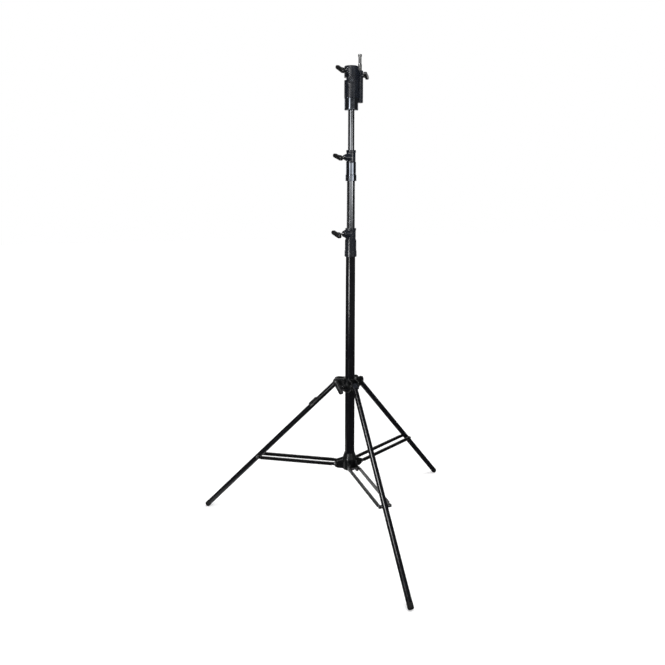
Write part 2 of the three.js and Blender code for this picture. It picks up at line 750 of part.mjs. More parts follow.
// The stud, z = 0 at its lower end
function studSolid() {
  const outer = stud.diameter / 2;
  const waist = outer - stud.waistDepth;
  const capBottom = stud.length - stud.capHeight;
  const waistBottom = capBottom - stud.waistHeight;
  const ease = stud.waistDepth;
  return turned([
    [0, 0],
    [outer - stud.chamfer, 0],
    [outer, stud.chamfer],
    [outer, waistBottom - ease],
    [waist, waistBottom],
    [waist, capBottom],
    [outer, capBottom + ease],
    [outer, stud.length - stud.chamfer],
    [outer - stud.chamfer, stud.length],
    [0, stud.length],
  ], smallSides);
}

function baseGroup() {
  const tube = meshOf('base_tube', tubeSolid(baseTube), 'glossBlack');
  const hubMesh = meshOf('hub_casting', hubSolid(), 'glossBlack');
  const cap = meshOf('column_end_cap', columnCapSolid(), 'blackPlastic');
  tube.position.z = baseTubeBottom;
  hubMesh.position.z = hubUnderside;
  cap.position.z = hubUnderside;
  const seat = baseTube.diameter / 2 + fitGap;
  const band = seat + baseCollar.bandWall;
  const rivetLift = [0, 0, baseCollar.bandHeight / 2];
  const collar = spun(collarSolid(baseCollar, baseTube, riser1, baseBossReach), columnLocks.azimuth)
    .subtract(spun(rivetHole(band), rivet.azimuth).translate(rivetLift));
  const bush = meshOf('base_collar_bush', collarBushSolid(riser1), 'nylon');
  bush.position.z = baseCollarTop - baseCollarBottom - collarBush.height;
  const rivetMesh = meshOf('base_collar_rivet', rivetSolid(band, seat), 'zincSteel');
  const group = new THREE.Group();
  group.add(
    tube,
    hubMesh,
    cap,
    ...Object.keys(legSides).map(hubBoltMesh),
    raised(
      baseCollarBottom,
      meshOf('base_collar', collar, 'blackCasting'),
      bush,
      aimed(rivet.azimuth, baseCollar.bandHeight / 2, rivetMesh),
      aimed(
        columnLocks.azimuth,
        collarLockHeight(baseCollar),
        meshOf('base_lock_pad', padSolid(riser1.diameter / 2), 'brass'),
        ...lockMeshes(
          'base_lock',
          baseBossReach + baseLock.standoff,
          screwStartOver(riser1.diameter / 2),
          columnLocks.tilt,
        ),
      ),
    ),
  );
  return group;
}

// Riser 1, z = 0 at the underside of its collar
function riser1Group() {
  const tube = meshOf('riser_1_tube', tubeSolid(riser1), 'darkChrome');
  tube.position.z = riser1TubeBottom;
  const guide = meshOf('riser_1_foot_bush', footBushSolid(riser1, baseTube), 'nylon');
  guide.position.z = riser1TubeBottom;
  const seat = riser1.diameter / 2 + fitGap;
  const band = seat + riser1Collar.bandWall;
  const rivetLift = [0, 0, riser1Collar.bandHeight / 2];
  const collar = spun(collarSolid(riser1Collar, riser1, riser2, riser1BossReach), columnLocks.azimuth)
    .subtract(spun(rivetHole(band), rivet.azimuth).translate(rivetLift));
  const bush = meshOf('riser_1_collar_bush', collarBushSolid(riser2), 'nylon');
  bush.position.z = riser1Top - riser1Bottom - collarBush.height;
  const rivetMesh = meshOf('riser_1_collar_rivet', rivetSolid(band, seat), 'zincSteel');
  return raised(
    riser1Bottom,
    tube,
    guide,
    meshOf('riser_1_collar', collar, 'blackCasting'),
    bush,
    aimed(rivet.azimuth, riser1Collar.bandHeight / 2, rivetMesh),
    aimed(
      columnLocks.azimuth,
      collarLockHeight(riser1Collar),
      meshOf('riser_1_lock_pad', padSolid(riser2.diameter / 2), 'brass'),
      ...lockMeshes(
        'riser_1_lock',
        riser1BossReach + riser1Lock.standoff,
        screwStartOver(riser2.diameter / 2),
        columnLocks.tilt,
      ),
    ),
  );
}

// Riser 2 with the head, z = 0 at the underside of the head
function riser2Group() {
  const tube = meshOf('riser_2_tube', tubeSolid(riser2), 'darkChrome');
  tube.position.z = riser2TubeBottom;
  const guide = meshOf('riser_2_foot_bush', footBushSolid(riser2, riser1), 'nylon');
  guide.position.z = riser2TubeBottom;
  const stopScrewMesh = meshOf('socket_stop_screw', stopScrewSolid(), 'zincSteel');
  const studMesh = meshOf('stud_pin', studSolid(), 'brightChrome');
  studMesh.position.set(holderOffset, 0, holderTop + stud.shown - stud.length);
  const studLockGroup = aimed(
    studLockSide,
    headHeight - studBoss.underRim,
    ...lockMeshes(
      'stud_lock',
      studBossReach + studLock.standoff,
      studBoreRadius,
      studLock.tilt,
      studLock.hubLength,
    ),
  );
  studLockGroup.position.x = holderOffset;
  const turnedHead = aimed(
    studHolder.azimuth,
    0,
    meshOf('head_casting', headCastingSolid(), 'blackCasting'),
    meshOf('head_sleeve', headSleeveSolid(), 'blackCasting'),
    studMesh,
    studLockGroup,
    aimed(stopScrewSide, headHeight - stopScrew.underRim, stopScrewMesh),
    aimed(
      socketLockSide,
      headHeight - socketBoss.underRim,
      meshOf('socket_lock_pad', padSolid(socketRadius), 'brass'),
      ...lockMeshes(
        'socket_lock',
        socketBossReach + socketLock.standoff,
        screwStartOver(socketRadius),
        socketLock.tilt,
      ),
    ),
  );
  return raised(headBottom, tube, guide, turnedHead);
}

function legCollarGroup() {
  return raised(
    legPivotHeight,
    meshOf('leg_collar', legCollarSolid(), 'glossBlack'),
    ...Object.keys(legSides).map(legBoltMesh),
    aimed(
      legLock.azimuth,
      -legCollar.lockUnderPivot,
      meshOf('leg_lock_pad', padSolid(baseTube.diameter / 2), 'brass'),
      ...lockMeshes(
        'leg_lock',
        legBossReach + legLock.standoff,
        screwStartOver(baseTube.diameter / 2),
        legLock.tilt,
      ),
    ),
  );
}

const stand = new THREE.Group();
stand.add(
  baseGroup(),
  riser1Group(),
  riser2Group(),
  legCollarGroup(),
  ...Object.keys(legSides).map(legGroup),
  ...Object.keys(legSides).map(braceGroup),
);

// The origin is the centre of the footprint, on the floor
const footprint = new THREE.Box3().setFromObject(stand, true);
const middle = footprint.getCenter(new THREE.Vector3());
stand.position.set(-middle.x, -middle.y, -footprint.min.z);

export default stand;
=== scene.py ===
from math import atan2, cos, hypot, pi, radians, sin, sqrt, tan

import bmesh
import bpy
from mathutils import Matrix, Vector


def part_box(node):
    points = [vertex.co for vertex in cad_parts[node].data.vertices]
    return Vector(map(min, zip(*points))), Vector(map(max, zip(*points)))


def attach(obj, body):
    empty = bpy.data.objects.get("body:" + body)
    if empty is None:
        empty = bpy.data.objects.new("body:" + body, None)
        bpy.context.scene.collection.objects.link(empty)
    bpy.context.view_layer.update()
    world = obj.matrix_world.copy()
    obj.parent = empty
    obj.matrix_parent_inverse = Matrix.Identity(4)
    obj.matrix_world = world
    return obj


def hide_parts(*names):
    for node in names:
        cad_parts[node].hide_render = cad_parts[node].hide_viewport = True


# Combo stand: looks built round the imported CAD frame. Sizes are in millimetres, heights over the floor.
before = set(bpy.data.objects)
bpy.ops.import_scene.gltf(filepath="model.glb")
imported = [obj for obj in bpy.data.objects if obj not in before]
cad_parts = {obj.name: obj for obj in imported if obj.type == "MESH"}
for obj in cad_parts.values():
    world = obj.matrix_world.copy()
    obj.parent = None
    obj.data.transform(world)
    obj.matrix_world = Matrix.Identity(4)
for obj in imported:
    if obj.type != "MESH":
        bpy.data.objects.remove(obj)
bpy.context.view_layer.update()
scene = bpy.context.scene
mm = 0.001


# Places, taken from the CAD nodes

def span(node):  # a node's lowest and highest point
    low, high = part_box(node)
    return low.z / mm, high.z / mm


def middle(node):  # the height of a node's middle
    return sum(span(node)) / 2


def shift(x=0, y=0, z=0):
    return Matrix.Translation((x, y, z))


def spin(degrees, axis="Z"):
    return Matrix.Rotation(radians(degrees), 4, axis)


columnY = sum(corner.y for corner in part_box("base_tube")) / 2 / mm
column = shift(y=columnY)  # the column's axis
sides = {"right": 30, "left": 150, "front": 270}  # azimuths of the three legs
lockAzimuth = 200  # where the locks on the column point
pivots = {"reach": 57, "leg": middle("leg_bolt_front"), "brace": middle("hub_bolt_front")}
alongY = spin(90, "X")  # an outline in X and Y stands up, its depth along -Y
alongX = Matrix(((0, 0, 1, 0), (1, 0, 0, 0), (0, 1, 0, 0), (0, 0, 0, 1)))  # a turned part points along X


def aimed(azimuth, height=0, reach=0):  # X outwards from the column, Z up
    return column @ spin(azimuth) @ shift(reach, z=height)


# Outlines and meshes

def eased(corners, closed=True, steps=4):  # (x, y, radius) corners to points, each corner an arc
    points = []
    count = len(corners)
    for i, corner in enumerate(corners):
        radius = corner[2] if len(corner) > 2 else 0
        here = Vector(corner[:2])
        if radius == 0 or (not closed and i in (0, count - 1)):
            points.append(tuple(here))
            continue
        before = Vector(corners[i - 1][:2]) - here
        after = Vector(corners[(i + 1) % count][:2]) - here
        half = before.angle(after) / 2
        longest = min(before.length, after.length) * 0.49  # two arcs may share an edge
        run = min(radius / tan(half), longest)
        centre = here + (before.normalized() + after.normalized()).normalized() * run / cos(half)
        start = here + before.normalized() * run - centre
        end = here + after.normalized() * run - centre
        first = atan2(start.y, start.x)
        sweep = (atan2(end.y, end.x) - first + pi) % (2 * pi) - pi
        for k in range(steps + 1):
            a = first + sweep * k / steps
            points.append((centre.x + start.length * cos(a), centre.y + start.length * sin(a)))
    return points


def rectangle(left, right, low, high, edge=0):
    return [(left, low, edge), (right, low, edge), (right, high, edge), (left, high, edge)]


def arc(x, y, radius, start, end, steps=12):  # points on a round, angles in degrees
    turns = [radians(start + (end - start) * k / steps) for k in range(steps + 1)]
    return [(x + radius * cos(a), y + radius * sin(a)) for a in turns]


def circle(radius, height, around):  # points round Z; radius may be a function of the angle
    turns = [2 * pi * k / around for k in range(around)]
    radii = [radius(a) if callable(radius) else radius for a in turns]
    return [(r * cos(a), r * sin(a), height) for r, a in zip(radii, turns)]


def skin(bm, place, rows, closed=False):  # quads between rows of points, a fan where a row is one point
    rings = [[bm.verts.new(place @ Vector(point)) for point in row] for row in rows]
    pairs = list(zip(rings, rings[1:])) + ([(rings[-1], rings[0])] if closed else [])
    for low, high in pairs:
        count = max(len(low), len(high))
        for k in range(count):
            m = (k + 1) % count
            if count == 1:
                continue
            if len(low) == 1:
                bm.faces.new((low[0], high[m], high[k]))
            elif len(high) == 1:
                bm.faces.new((low[k], low[m], high[0]))
            else:
                bm.faces.new((low[k], low[m], high[m], high[k]))
    return rings


def turned(bm, profile, place=Matrix(), closed=True, around=96):  # (radius, height) points turned round Z
    onAxis = 0.001
    skin(bm, place, [[(0, 0, height)] if radius < onAxis else circle(radius, height, around)
                     for radius, height in profile], closed)


def rod(bm, radius, low, high, place, edges=(0, 0), around=48, steps=4):  # a plain round along Z
    corners = [(0, low), (radius, low, edges[0]), (radius, high, edges[1]), (0, high)]
    turned(bm, eased(corners, closed=False, steps=steps), place, closed=False, around=around)


def drawnIn(outline, inset):  # an outline moved inwards, its points kept
    moved = []
    count = len(outline)
    corners = [(Vector(outline[i - 1]), Vector(outline[i]), Vector(outline[(i + 1) % count]))
               for i in range(count)]
    area = sum(last.x * here.y - here.x * last.y for last, here, following in corners)
    side = 1 if area > 0 else -1
    sharpest = 0.5  # a sharper corner than this moves no further
    for last, here, following in corners:
        back = (here - last).normalized()
        on = (following - here).normalized()
        normal = Vector((-(back + on).y, (back + on).x)).normalized() * side
        lean = sqrt(max(0.0, (1 + back.dot(on)) / 2))
        moved.append(tuple(here + normal * inset / max(sharpest, lean)))
    return moved


def slab(bm, outline, low, high, edge, place, dish=None, steps=3):  # a plate along Z with round edges
    bends = [pi / 2 * k / steps for k in range(steps + 1)]
    rows = [(edge - edge * sin(bend), low + edge - edge * cos(bend)) for bend in bends]
    rows += [(inset, low + high - height) for inset, height in reversed(rows)]
    if dish:  # a shallow hollow in the upper face
        rim, depth = edge + dish["rim"], dish["depth"]
        rows += [(rim, high), (rim + dish["lip"], high - dish["lipDrop"]), (rim + depth, high - depth)]
    rings = skin(bm, place, [[(x, y, height) for x, y in drawnIn(outline, inset)] for inset, height in rows])
    bm.faces.new(list(reversed(rings[0])))
    bm.faces.new(rings[-1])


def boss(bm, sizes, place, barrel, around):
    # A round boss along X that flares into a barrel round Z; barrel(z) is the barrel's radius there
    reach, tip, root, flare = sizes["reach"], sizes["tip"], sizes["root"], sizes["flare"]
    edge, bore, floor = sizes["edge"], sizes["bore"], sizes["reach"] - sizes["boreDepth"]
    mouth, sunk = 0.5, 0.08  # chamfer of the bore, and how far the flare's end is let in
    edgeSteps, flareSteps = 4, 7
    shoulder = reach - edge

    def surface(radius, a):
        across, up = radius * cos(a), radius * sin(a)
        return sqrt(max(0.0, barrel(up) ** 2 - across ** 2))

    def flareTop(a):
        return min(shoulder, surface(root, a) + flare)

    def row(radius, height):
        turns = [2 * pi * k / around for k in range(around)]
        return [(height(a), radius * cos(a), radius * sin(a)) for a in turns]

    rows = [[(floor, 0, 0)], row(bore, lambda a: floor), row(bore, lambda a: reach - mouth),
            row(bore + mouth, lambda a: reach)]
    for k in range(edgeSteps + 1):
        bend = pi / 2 * k / edgeSteps
        rows.append(row(tip - edge + edge * sin(bend), lambda a: shoulder + edge * cos(bend)))
    for share in (0.35, 0.7, 1):
        radius = tip + (root - tip) * share
        rows.append(row(radius, lambda a: shoulder + (flareTop(a) - shoulder) * share))
    for k in range(1, flareSteps + 1):
        bend = pi / 2 * k / flareSteps
        radius = root + flare * (1 - cos(bend))
        lift = flare * (1 - sin(bend)) - sunk * k / flareSteps
        rows.append(row(radius, lambda a: min(shoulder, surface(radius, a) + lift)))
    skin(bm, place, rows)


def hexagon(across):  # how far a hexagon's side is from its middle at each angle
    return lambda a: across / 2 / cos((a + pi / 6) % (pi / 3) - pi / 6)


def hexCap(bm, across, low, high, place, around=60):  # a bolt head or nut along Z, its corners chamfered
    flat = across / 2 * 0.95
    drop = tan(radians(28))
    sidesLow = circle(hexagon(across), low, around)
    sidesHigh = [(x, y, high - (hypot(x, y) - flat) * drop) for x, y, z in sidesLow]
    skin(bm, place, [[(0, 0, low)], sidesLow, sidesHigh, circle(flat, high, around), [(0, 0, high)]])


def threaded(bm, screw, low, high, place, around=32, perTurn=8):  # a screw thread along Z
    pitch, crest, depth = screw["pitch"], screw["radius"], screw["depth"]
    count = int((high - low) / pitch * perTurn)
    rows = [[(0, 0, low)]]
    for i in range(count + 1):
        height = low + (high - low) * i / count
        phase = 2 * pi * height / pitch
        rows.append(circle(lambda a: crest - depth * (0.5 + 0.5 * cos(phase - a)), height, around))
    skin(bm, place, rows + [[(0, 0, high)]])


def meshObject(name, bm, finish=None):
    mesh = bpy.data.meshes.new(name)
    bm.to_mesh(mesh)
    bm.free()
    if finish:
        mesh.materials.append(finish)
    made = bpy.data.objects.new(name, mesh)
    scene.collection.objects.link(made)
    return made


def makePiece(name, bm, place, finish, body, node, crease=38, voxel=None):
    bmesh.ops.scale(bm, vec=(mm, mm, mm), verts=bm.verts)
    bmesh.ops.recalc_face_normals(bm, faces=bm.faces)
    piece = meshObject(name, bm, finishes[finish])
    piece.data.shade_smooth()
    piece.data.set_sharp_from_angle(angle=radians(crease))
    place = place.copy()
    place.translation *= mm
    piece.matrix_world = place
    if voxel:  # a casting: its parts flow into one skin with soft corners
        cast = piece.modifiers.new("cast", "REMESH")
        cast.mode = "VOXEL"
        cast.voxel_size = voxel * mm
        cast.use_smooth_shade = True
        soft = piece.modifiers.new("soften", "SMOOTH")
        soft.factor = 0.5
        soft.iterations = 6
    else:
        even = piece.modifiers.new("evenNormals", "WEIGHTED_NORMAL")
        even.keep_sharp = True
    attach(piece, body)
    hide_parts(node)


# Node groups

def add(tree, kind, sockets=None, **settings):
    new = tree.nodes.new("ShaderNode" + kind)
    for key, value in settings.items():
        setattr(new, key, value)
    for key, value in (sockets or {}).items():
        if isinstance(value, bpy.types.NodeSocket):
            tree.links.new(value, new.inputs[key])
        else:
            new.inputs[key].default_value = value
    return new


def newGroup(name, inputs, outputs):
    group = bpy.data.node_groups.new(name, "ShaderNodeTree")
    for label, value in inputs.items():
        socket = group.interface.new_socket(label, in_out="INPUT", socket_type="NodeSocketFloat")
        socket.default_value = value
    for label in outputs:
        group.interface.new_socket(label, in_out="OUTPUT", socket_type="NodeSocketFloat")
    return group, group.nodes.new("NodeGroupInput").outputs, group.nodes.new("NodeGroupOutput").inputs


def spread(tree, value, low, high, outLow=0.0, outHigh=1.0):  # a range of a value, stretched and clamped
    sockets = {"Value": value, "From Min": low, "From Max": high, "To Min": outLow, "To Max": outHigh}
    return add(tree, "MapRange", sockets, interpolation_type="SMOOTHSTEP").outputs["Result"]


def combined(tree, operation, a, b):
    return add(tree, "Math", {0: a, 1: b}, operation=operation).outputs["Value"]


def times(tree, a, b):
    return combined(tree, "MULTIPLY", a, b)


def plus(tree, a, b):
    return combined(tree, "ADD", a, b)


def scaled(tree, vector, **scale):  # a vector with its X, Y and Z each multiplied
    factors = add(tree, "CombineXYZ", scale).outputs["Vector"]
    return add(tree, "VectorMath", {0: vector, 1: factors}, operation="MULTIPLY").outputs["Vector"]


def noise(tree, scale, vector, detail, rough):
    sockets = {"Vector": vector, "Scale": scale, "Detail": detail, "Roughness": rough}
    return add(tree, "TexNoise", sockets).outputs["Fac"]


def objectSpace(tree):
    return add(tree, "TexCoord").outputs["Object"]


# Its mask also carries the painted glints on the edges of the hub and leg collar.
def edgeWearGroup():  # where hands and straps rub the coat off the edges
    group, given, out = newGroup("edgeWear", {"Width": 0.0008, "Amount": 0.6, "Breakup": 160.0}, ["Mask"])
    bent = add(group, "Bevel", {"Radius": given["Width"]}, samples=6).outputs["Normal"]
    flat = add(group, "NewGeometry").outputs["Normal"]
    turn = add(group, "VectorMath", {0: bent, 1: flat}, operation="DOT_PRODUCT").outputs["Value"]
    edge = spread(group, turn, low=0.985, high=0.86)
    chips = noise(group, given["Breakup"], objectSpace(group), detail=6.0, rough=0.65)
    patches = spread(group, chips, low=0.42, high=0.62)
    group.links.new(times(group, times(group, edge, patches), given["Amount"]), out["Mask"])
    return group


def coatGrainGroup():  # the skin of a powder coat or a casting, as a height
    group, given, out = newGroup("coatGrain", {"Size": 900.0, "Pits": 0.3}, ["Height"])
    where = objectSpace(group)
    finer, coarser, fineShare = 3.1, 0.55, 0.35
    peel = noise(group, given["Size"], where, detail=3.0, rough=0.5)
    fine = noise(group, times(group, given["Size"], finer), where, detail=2.0, rough=0.5)
    cellSize = times(group, given["Size"], coarser)
    cells = add(group, "TexVoronoi", {"Vector": where, "Scale": cellSize}, feature="SMOOTH_F1")
    pits = times(group, spread(group, cells.outputs["Distance"], low=0.0, high=0.35), given["Pits"])
    group.links.new(plus(group, plus(group, peel, times(group, fine, fineShare)), pits), out["Height"])
    return group


def drawnLinesGroup():  # fine lines along a drawn tube, and faint rings where a collar has slid
    group, given, out = newGroup("drawnLines", {"Along": 5.0, "Across": 2600.0}, ["Lines", "Rings"])
    where = objectSpace(group)
    stretched = scaled(group, where, X=given["Across"], Y=given["Across"], Z=given["Along"])
    lines = noise(group, 1.0, stretched, detail=3.0, rough=0.6)
    squashed = scaled(group, where, X=9.0, Y=9.0, Z=130.0)
    rings = spread(group, noise(group, 1.0, squashed, detail=4.0, rough=0.6), low=0.56, high=0.74)
    group.links.new(lines, out["Lines"])
    group.links.new(rings, out["Rings"])
    return group


def handlingGroup():  # smudges from hands, and dust that settles on what faces up
    group, given, out = newGroup("handling", {"Size": 14.0, "Dust": 0.3}, ["Smudge", "Dust"])
    where = objectSpace(group)
    smudge = spread(group, noise(group, given["Size"], where, detail=5.0, rough=0.6), low=0.35, high=0.7)
    up = add(group, "SeparateXYZ", {0: add(group, "NewGeometry").outputs["Normal"]}).outputs["Z"]
    settled = times(group, spread(group, up, low=0.25, high=0.95), given["Dust"])
    speckSize = times(group, given["Size"], 22.0)
    specks = spread(group, noise(group, speckSize, where, detail=5.0, rough=0.7), low=0.38, high=0.72)
    group.links.new(smudge, out["Smudge"])
    group.links.new(times(group, settled, specks), out["Dust"])
    return group


edgeWear = edgeWearGroup()
coatGrain = coatGrainGroup()
drawnLines = drawnLinesGroup()
handling = handlingGroup()


# Finishes

def grouped(tree, group, **values):
    new = tree.nodes.new("ShaderNodeGroup")
    new.node_tree = group
    for key, value in values.items():
        new.inputs[key].default_value = value
    return new.outputs


def grey(level):
    return (level, level, level)


def blended(tree, mask, low, high):
    new = add(tree, "Mix", {"Factor": mask}, data_type="RGBA")
    for socket, value in ((new.inputs[6], low), (new.inputs[7], high)):  # A and B of a colour mix
        if isinstance(value, bpy.types.NodeSocket):
            tree.links.new(value, socket)
        else:
            socket.default_value = (*value, 1)
    return new.outputs[2]


def shaded(name, settings):  # a new material with these values on its shader
    material = bpy.data.materials.new(name)
    material.use_nodes = True
    inputs = material.node_tree.nodes["Principled BSDF"].inputs
    for socket, value in settings.items():
        inputs[socket].default_value = value
    return material, inputs


def mottled(tree, look, detail):
    patches = noise(tree, look["mottleSize"], objectSpace(tree), detail=detail, rough=0.6)
    return blended(tree, spread(tree, patches, low=0.3, high=0.7), look["color"], look["colorPale"])


def linkSurface(tree, inputs, color, rough, bump):  # bump is the height, its strength and its depth
    height, strength, depth = bump
    normal = add(tree, "Bump", {"Height": height, "Strength": strength, "Distance": depth}).outputs["Normal"]
    for socket, value in (("Base Color", color), ("Roughness", rough), ("Normal", normal)):
        tree.links.new(value, inputs[socket])


def coated(name, look):  # paint or powder coat over metal: worn edges, grain, smudges, dust
    material, inputs = shaded(name, {"Specular IOR Level": look["specular"]})
    tree = material.node_tree
    worn = grouped(tree, edgeWear, Width=look["wearWidth"], Amount=look["wear"], Breakup=look["breakup"])
    grain = grouped(tree, coatGrain, Size=look["grainSize"], Pits=look["pits"])
    hands = grouped(tree, handling, Size=look["smudgeSize"], Dust=look["dust"])
    # Dust and worn edges lighten the colour; on the hub and leg collar this is also a painted glint.
    color = blended(tree, hands["Dust"], mottled(tree, look, detail=4.0), look["dustColor"])
    color = blended(tree, worn["Mask"], color, look["bare"])
    dustRough = times(tree, hands["Dust"], 0.25)
    rough = plus(tree, spread(tree, hands["Smudge"], 0.0, 1.0, *look["rough"]), dustRough)
    linkSurface(tree, inputs, color, rough, (grain["Height"], look["bump"], look["bumpDepth"]))
    if "bareMetal" in look:
        tree.links.new(times(tree, worn["Mask"], look["bareMetal"]), inputs["Metallic"])
    return material


def plated(name, look):  # chrome or zinc on steel: drawn lines, sliding rings, smudges
    material, inputs = shaded(name, {"Metallic": 1})
    tree = material.node_tree
    drawn = grouped(tree, drawnLines, Along=look["along"], Across=look["across"])
    hands = grouped(tree, handling, Size=look["smudgeSize"], Dust=0.0)
    rings = times(tree, drawn["Rings"], look["rings"])
    color = blended(tree, rings, mottled(tree, look, detail=5.0), look["ringColor"])
    lineRough = times(tree, drawn["Lines"], look["lineRough"])
    rough = plus(tree, spread(tree, hands["Smudge"], 0.0, 1.0, *look["rough"]), lineRough)
    linkSurface(tree, inputs, color, rough, (drawn["Lines"], look["bump"], lineDepth))
    return material


lineDepth = 0.00002
castingLook = {
    "color": (0.0048, 0.0062, 0.0098), "colorPale": (0.0085, 0.0108, 0.0165), "mottleSize": 70.0,
    "dustColor": grey(0.09), "dust": 0.3, "bare": (0.3, 0.3, 0.31), "wear": 0.55,
    "wearWidth": 0.0009, "breakup": 210.0, "grainSize": 820.0, "pits": 0.55, "bump": 0.4,
    "bumpDepth": 0.00018, "rough": (0.17, 0.3), "smudgeSize": 16.0, "specular": 1.0, "bareMetal": 0.8,
}
coats = {
    "glossBlack": {  # base tube and legs
        "color": (0.0032, 0.0032, 0.0045), "colorPale": (0.0045, 0.0045, 0.0062), "mottleSize": 30.0,
        "dustColor": grey(0.04), "dust": 0.08, "bare": (0.07, 0.07, 0.075), "wear": 0.5,
        "wearWidth": 0.0007, "breakup": 190.0, "grainSize": 650.0, "pits": 0.1, "bump": 0.06,
        "bumpDepth": 0.0001, "rough": (0.12, 0.24), "smudgeSize": 9.0, "specular": 0.5,
    },
    "blackCasting": castingLook,  # head, base collar and leg plugs
    "glossCasting": {  # clamp of the riser's collar
        **castingLook, "dust": 0.15, "wear": 0.5, "pits": 0.2, "bump": 0.08, "bumpDepth": 0.00015,
        "rough": (0.05, 0.13),
    },
    # Hub and leg collar: the pale bare edges and the dust on upward faces are real wear and dust, and also
    # painted glints along the ears and rims.
    "castBlackGlintEdged": {  # hub and leg collar
        "color": (0.0028, 0.0032, 0.0034), "colorPale": (0.0046, 0.0052, 0.0054), "mottleSize": 90.0,
        "dustColor": grey(0.08), "dust": 0.2, "bare": (0.26, 0.26, 0.265), "wear": 0.9,
        "wearWidth": 0.0014, "breakup": 150.0, "grainSize": 700.0, "pits": 0.5, "bump": 0.35,
        "bumpDepth": 0.0002, "rough": (0.22, 0.36), "smudgeSize": 14.0, "specular": 0.55,
    },
    "braceBlack": {
        "color": (0.003, 0.003, 0.0033), "colorPale": (0.005, 0.005, 0.0054), "mottleSize": 40.0,
        "dustColor": grey(0.09), "dust": 0.3, "bare": (0.16, 0.16, 0.165), "wear": 0.6,
        "wearWidth": 0.0006, "breakup": 170.0, "grainSize": 900.0, "pits": 0.2, "bump": 0.2,
        "bumpDepth": 0.0001, "rough": (0.2, 0.32), "smudgeSize": 12.0, "specular": 0.5,
    },
    "blackPlastic": {  # handles, end cap and clip
        "color": (0.0065, 0.0065, 0.007), "colorPale": (0.009, 0.009, 0.0095), "mottleSize": 90.0,
        "dustColor": grey(0.08), "dust": 0.25, "bare": (0.12, 0.12, 0.122), "wear": 0.6,
        "wearWidth": 0.001, "breakup": 260.0, "grainSize": 1900.0, "pits": 0.4, "bump": 0.35,
        "bumpDepth": 0.00008, "rough": (0.2, 0.34), "smudgeSize": 40.0, "specular": 0.7,
    },
    "blackRubber": {
        "color": (0.004, 0.004, 0.0042), "colorPale": (0.007, 0.007, 0.0072), "mottleSize": 120.0,
        "dustColor": (0.07, 0.068, 0.064), "dust": 0.25, "bare": grey(0.025), "wear": 0.6,
        "wearWidth": 0.0014, "breakup": 140.0, "grainSize": 1400.0, "pits": 0.5, "bump": 0.5,
        "bumpDepth": 0.00012, "rough": (0.6, 0.78), "smudgeSize": 40.0, "specular": 0.2,
    },
    "nylon": {
        "color": (0.018, 0.018, 0.02), "colorPale": (0.024, 0.024, 0.026), "mottleSize": 90.0,
        "dustColor": grey(0.1), "dust": 0.2, "bare": grey(0.09), "wear": 0.5,
        "wearWidth": 0.0006, "breakup": 260.0, "grainSize": 1500.0, "pits": 0.2, "bump": 0.25,
        "bumpDepth": 0.00008, "rough": (0.45, 0.6), "smudgeSize": 40.0, "specular": 0.4,
    },
}
platings = {
    "blackNickel": {  # sleeves and stop screw
        "color": (0.3, 0.33, 0.38), "colorPale": (0.37, 0.4, 0.45), "mottleSize": 30.0,
        "ringColor": (0.2, 0.22, 0.25), "rings": 0.4, "rough": (0.05, 0.12), "lineRough": 0.05,
        "along": 30.0, "across": 900.0, "smudgeSize": 20.0, "bump": 0.06,
    },
    "darkChrome": {  # both risers
        "color": (0.36, 0.375, 0.395), "colorPale": (0.41, 0.425, 0.445), "mottleSize": 6.0,
        "ringColor": (0.28, 0.29, 0.305), "rings": 0.12, "rough": (0.1, 0.17), "lineRough": 0.04,
        "along": 3.0, "across": 2600.0, "smudgeSize": 7.0, "bump": 0.05,
    },
    "brightChrome": {  # stud
        "color": grey(0.5), "colorPale": (0.58, 0.58, 0.575), "mottleSize": 40.0,
        "ringColor": grey(0.4), "rings": 0.15, "rough": (0.06, 0.14), "lineRough": 0.05,
        "along": 8.0, "across": 2600.0, "smudgeSize": 30.0, "bump": 0.05,
    },
    "zincSteel": {  # bolts, nuts, screws and rivets
        "color": (0.2, 0.205, 0.215), "colorPale": grey(0.3), "mottleSize": 260.0,
        "ringColor": (0.16, 0.16, 0.165), "rings": 0.25, "rough": (0.24, 0.38), "lineRough": 0.1,
        "along": 300.0, "across": 900.0, "smudgeSize": 90.0, "bump": 0.4,
    },
    "brass": {
        "color": (0.43, 0.27, 0.075), "colorPale": (0.5, 0.33, 0.11), "mottleSize": 200.0,
        "ringColor": (0.3, 0.18, 0.05), "rings": 0.3, "rough": (0.3, 0.42), "lineRough": 0.1,
        "along": 500.0, "across": 900.0, "smudgeSize": 120.0, "bump": 0.4,
    },
}
finishes = {name: coated(name, look) for name, look in coats.items()}
finishes.update({name: plated(name, look) for name, look in platings.items()})
print("finishes made:", len(finishes))


# Column tubes and end cap

def tubePiece(name, tube, low, high, at, body, node):
    outer = tube["diameter"] / 2
    bm = bmesh.new()
    turned(bm, eased(rectangle(outer - tube["wall"], outer, low, high, edge=0.35)))
    makePiece(name, bm, at, tube["finish"], body, node)


columnTubes = {
    "baseTube": {"diameter": 40, "wall": 2, "finish": "glossBlack", "slot": "gloss_black",
                 "body": "base", "node": "base_tube"},
    "riserTubeLower": {"diameter": 35, "wall": 1.75, "finish": "darkChrome", "slot": "dark_chrome",
                       "body": "riser_1", "node": "riser_1_tube"},
    "riserTubeUpper": {"diameter": 28, "wall": 1.75, "finish": "darkChrome", "slot": "dark_chrome",
                       "body": "riser_2", "node": "riser_2_tube"},
}
for name, tube in columnTubes.items():
    tubePiece(name, tube, *span(tube["node"]), column, tube["body"], tube["node"])


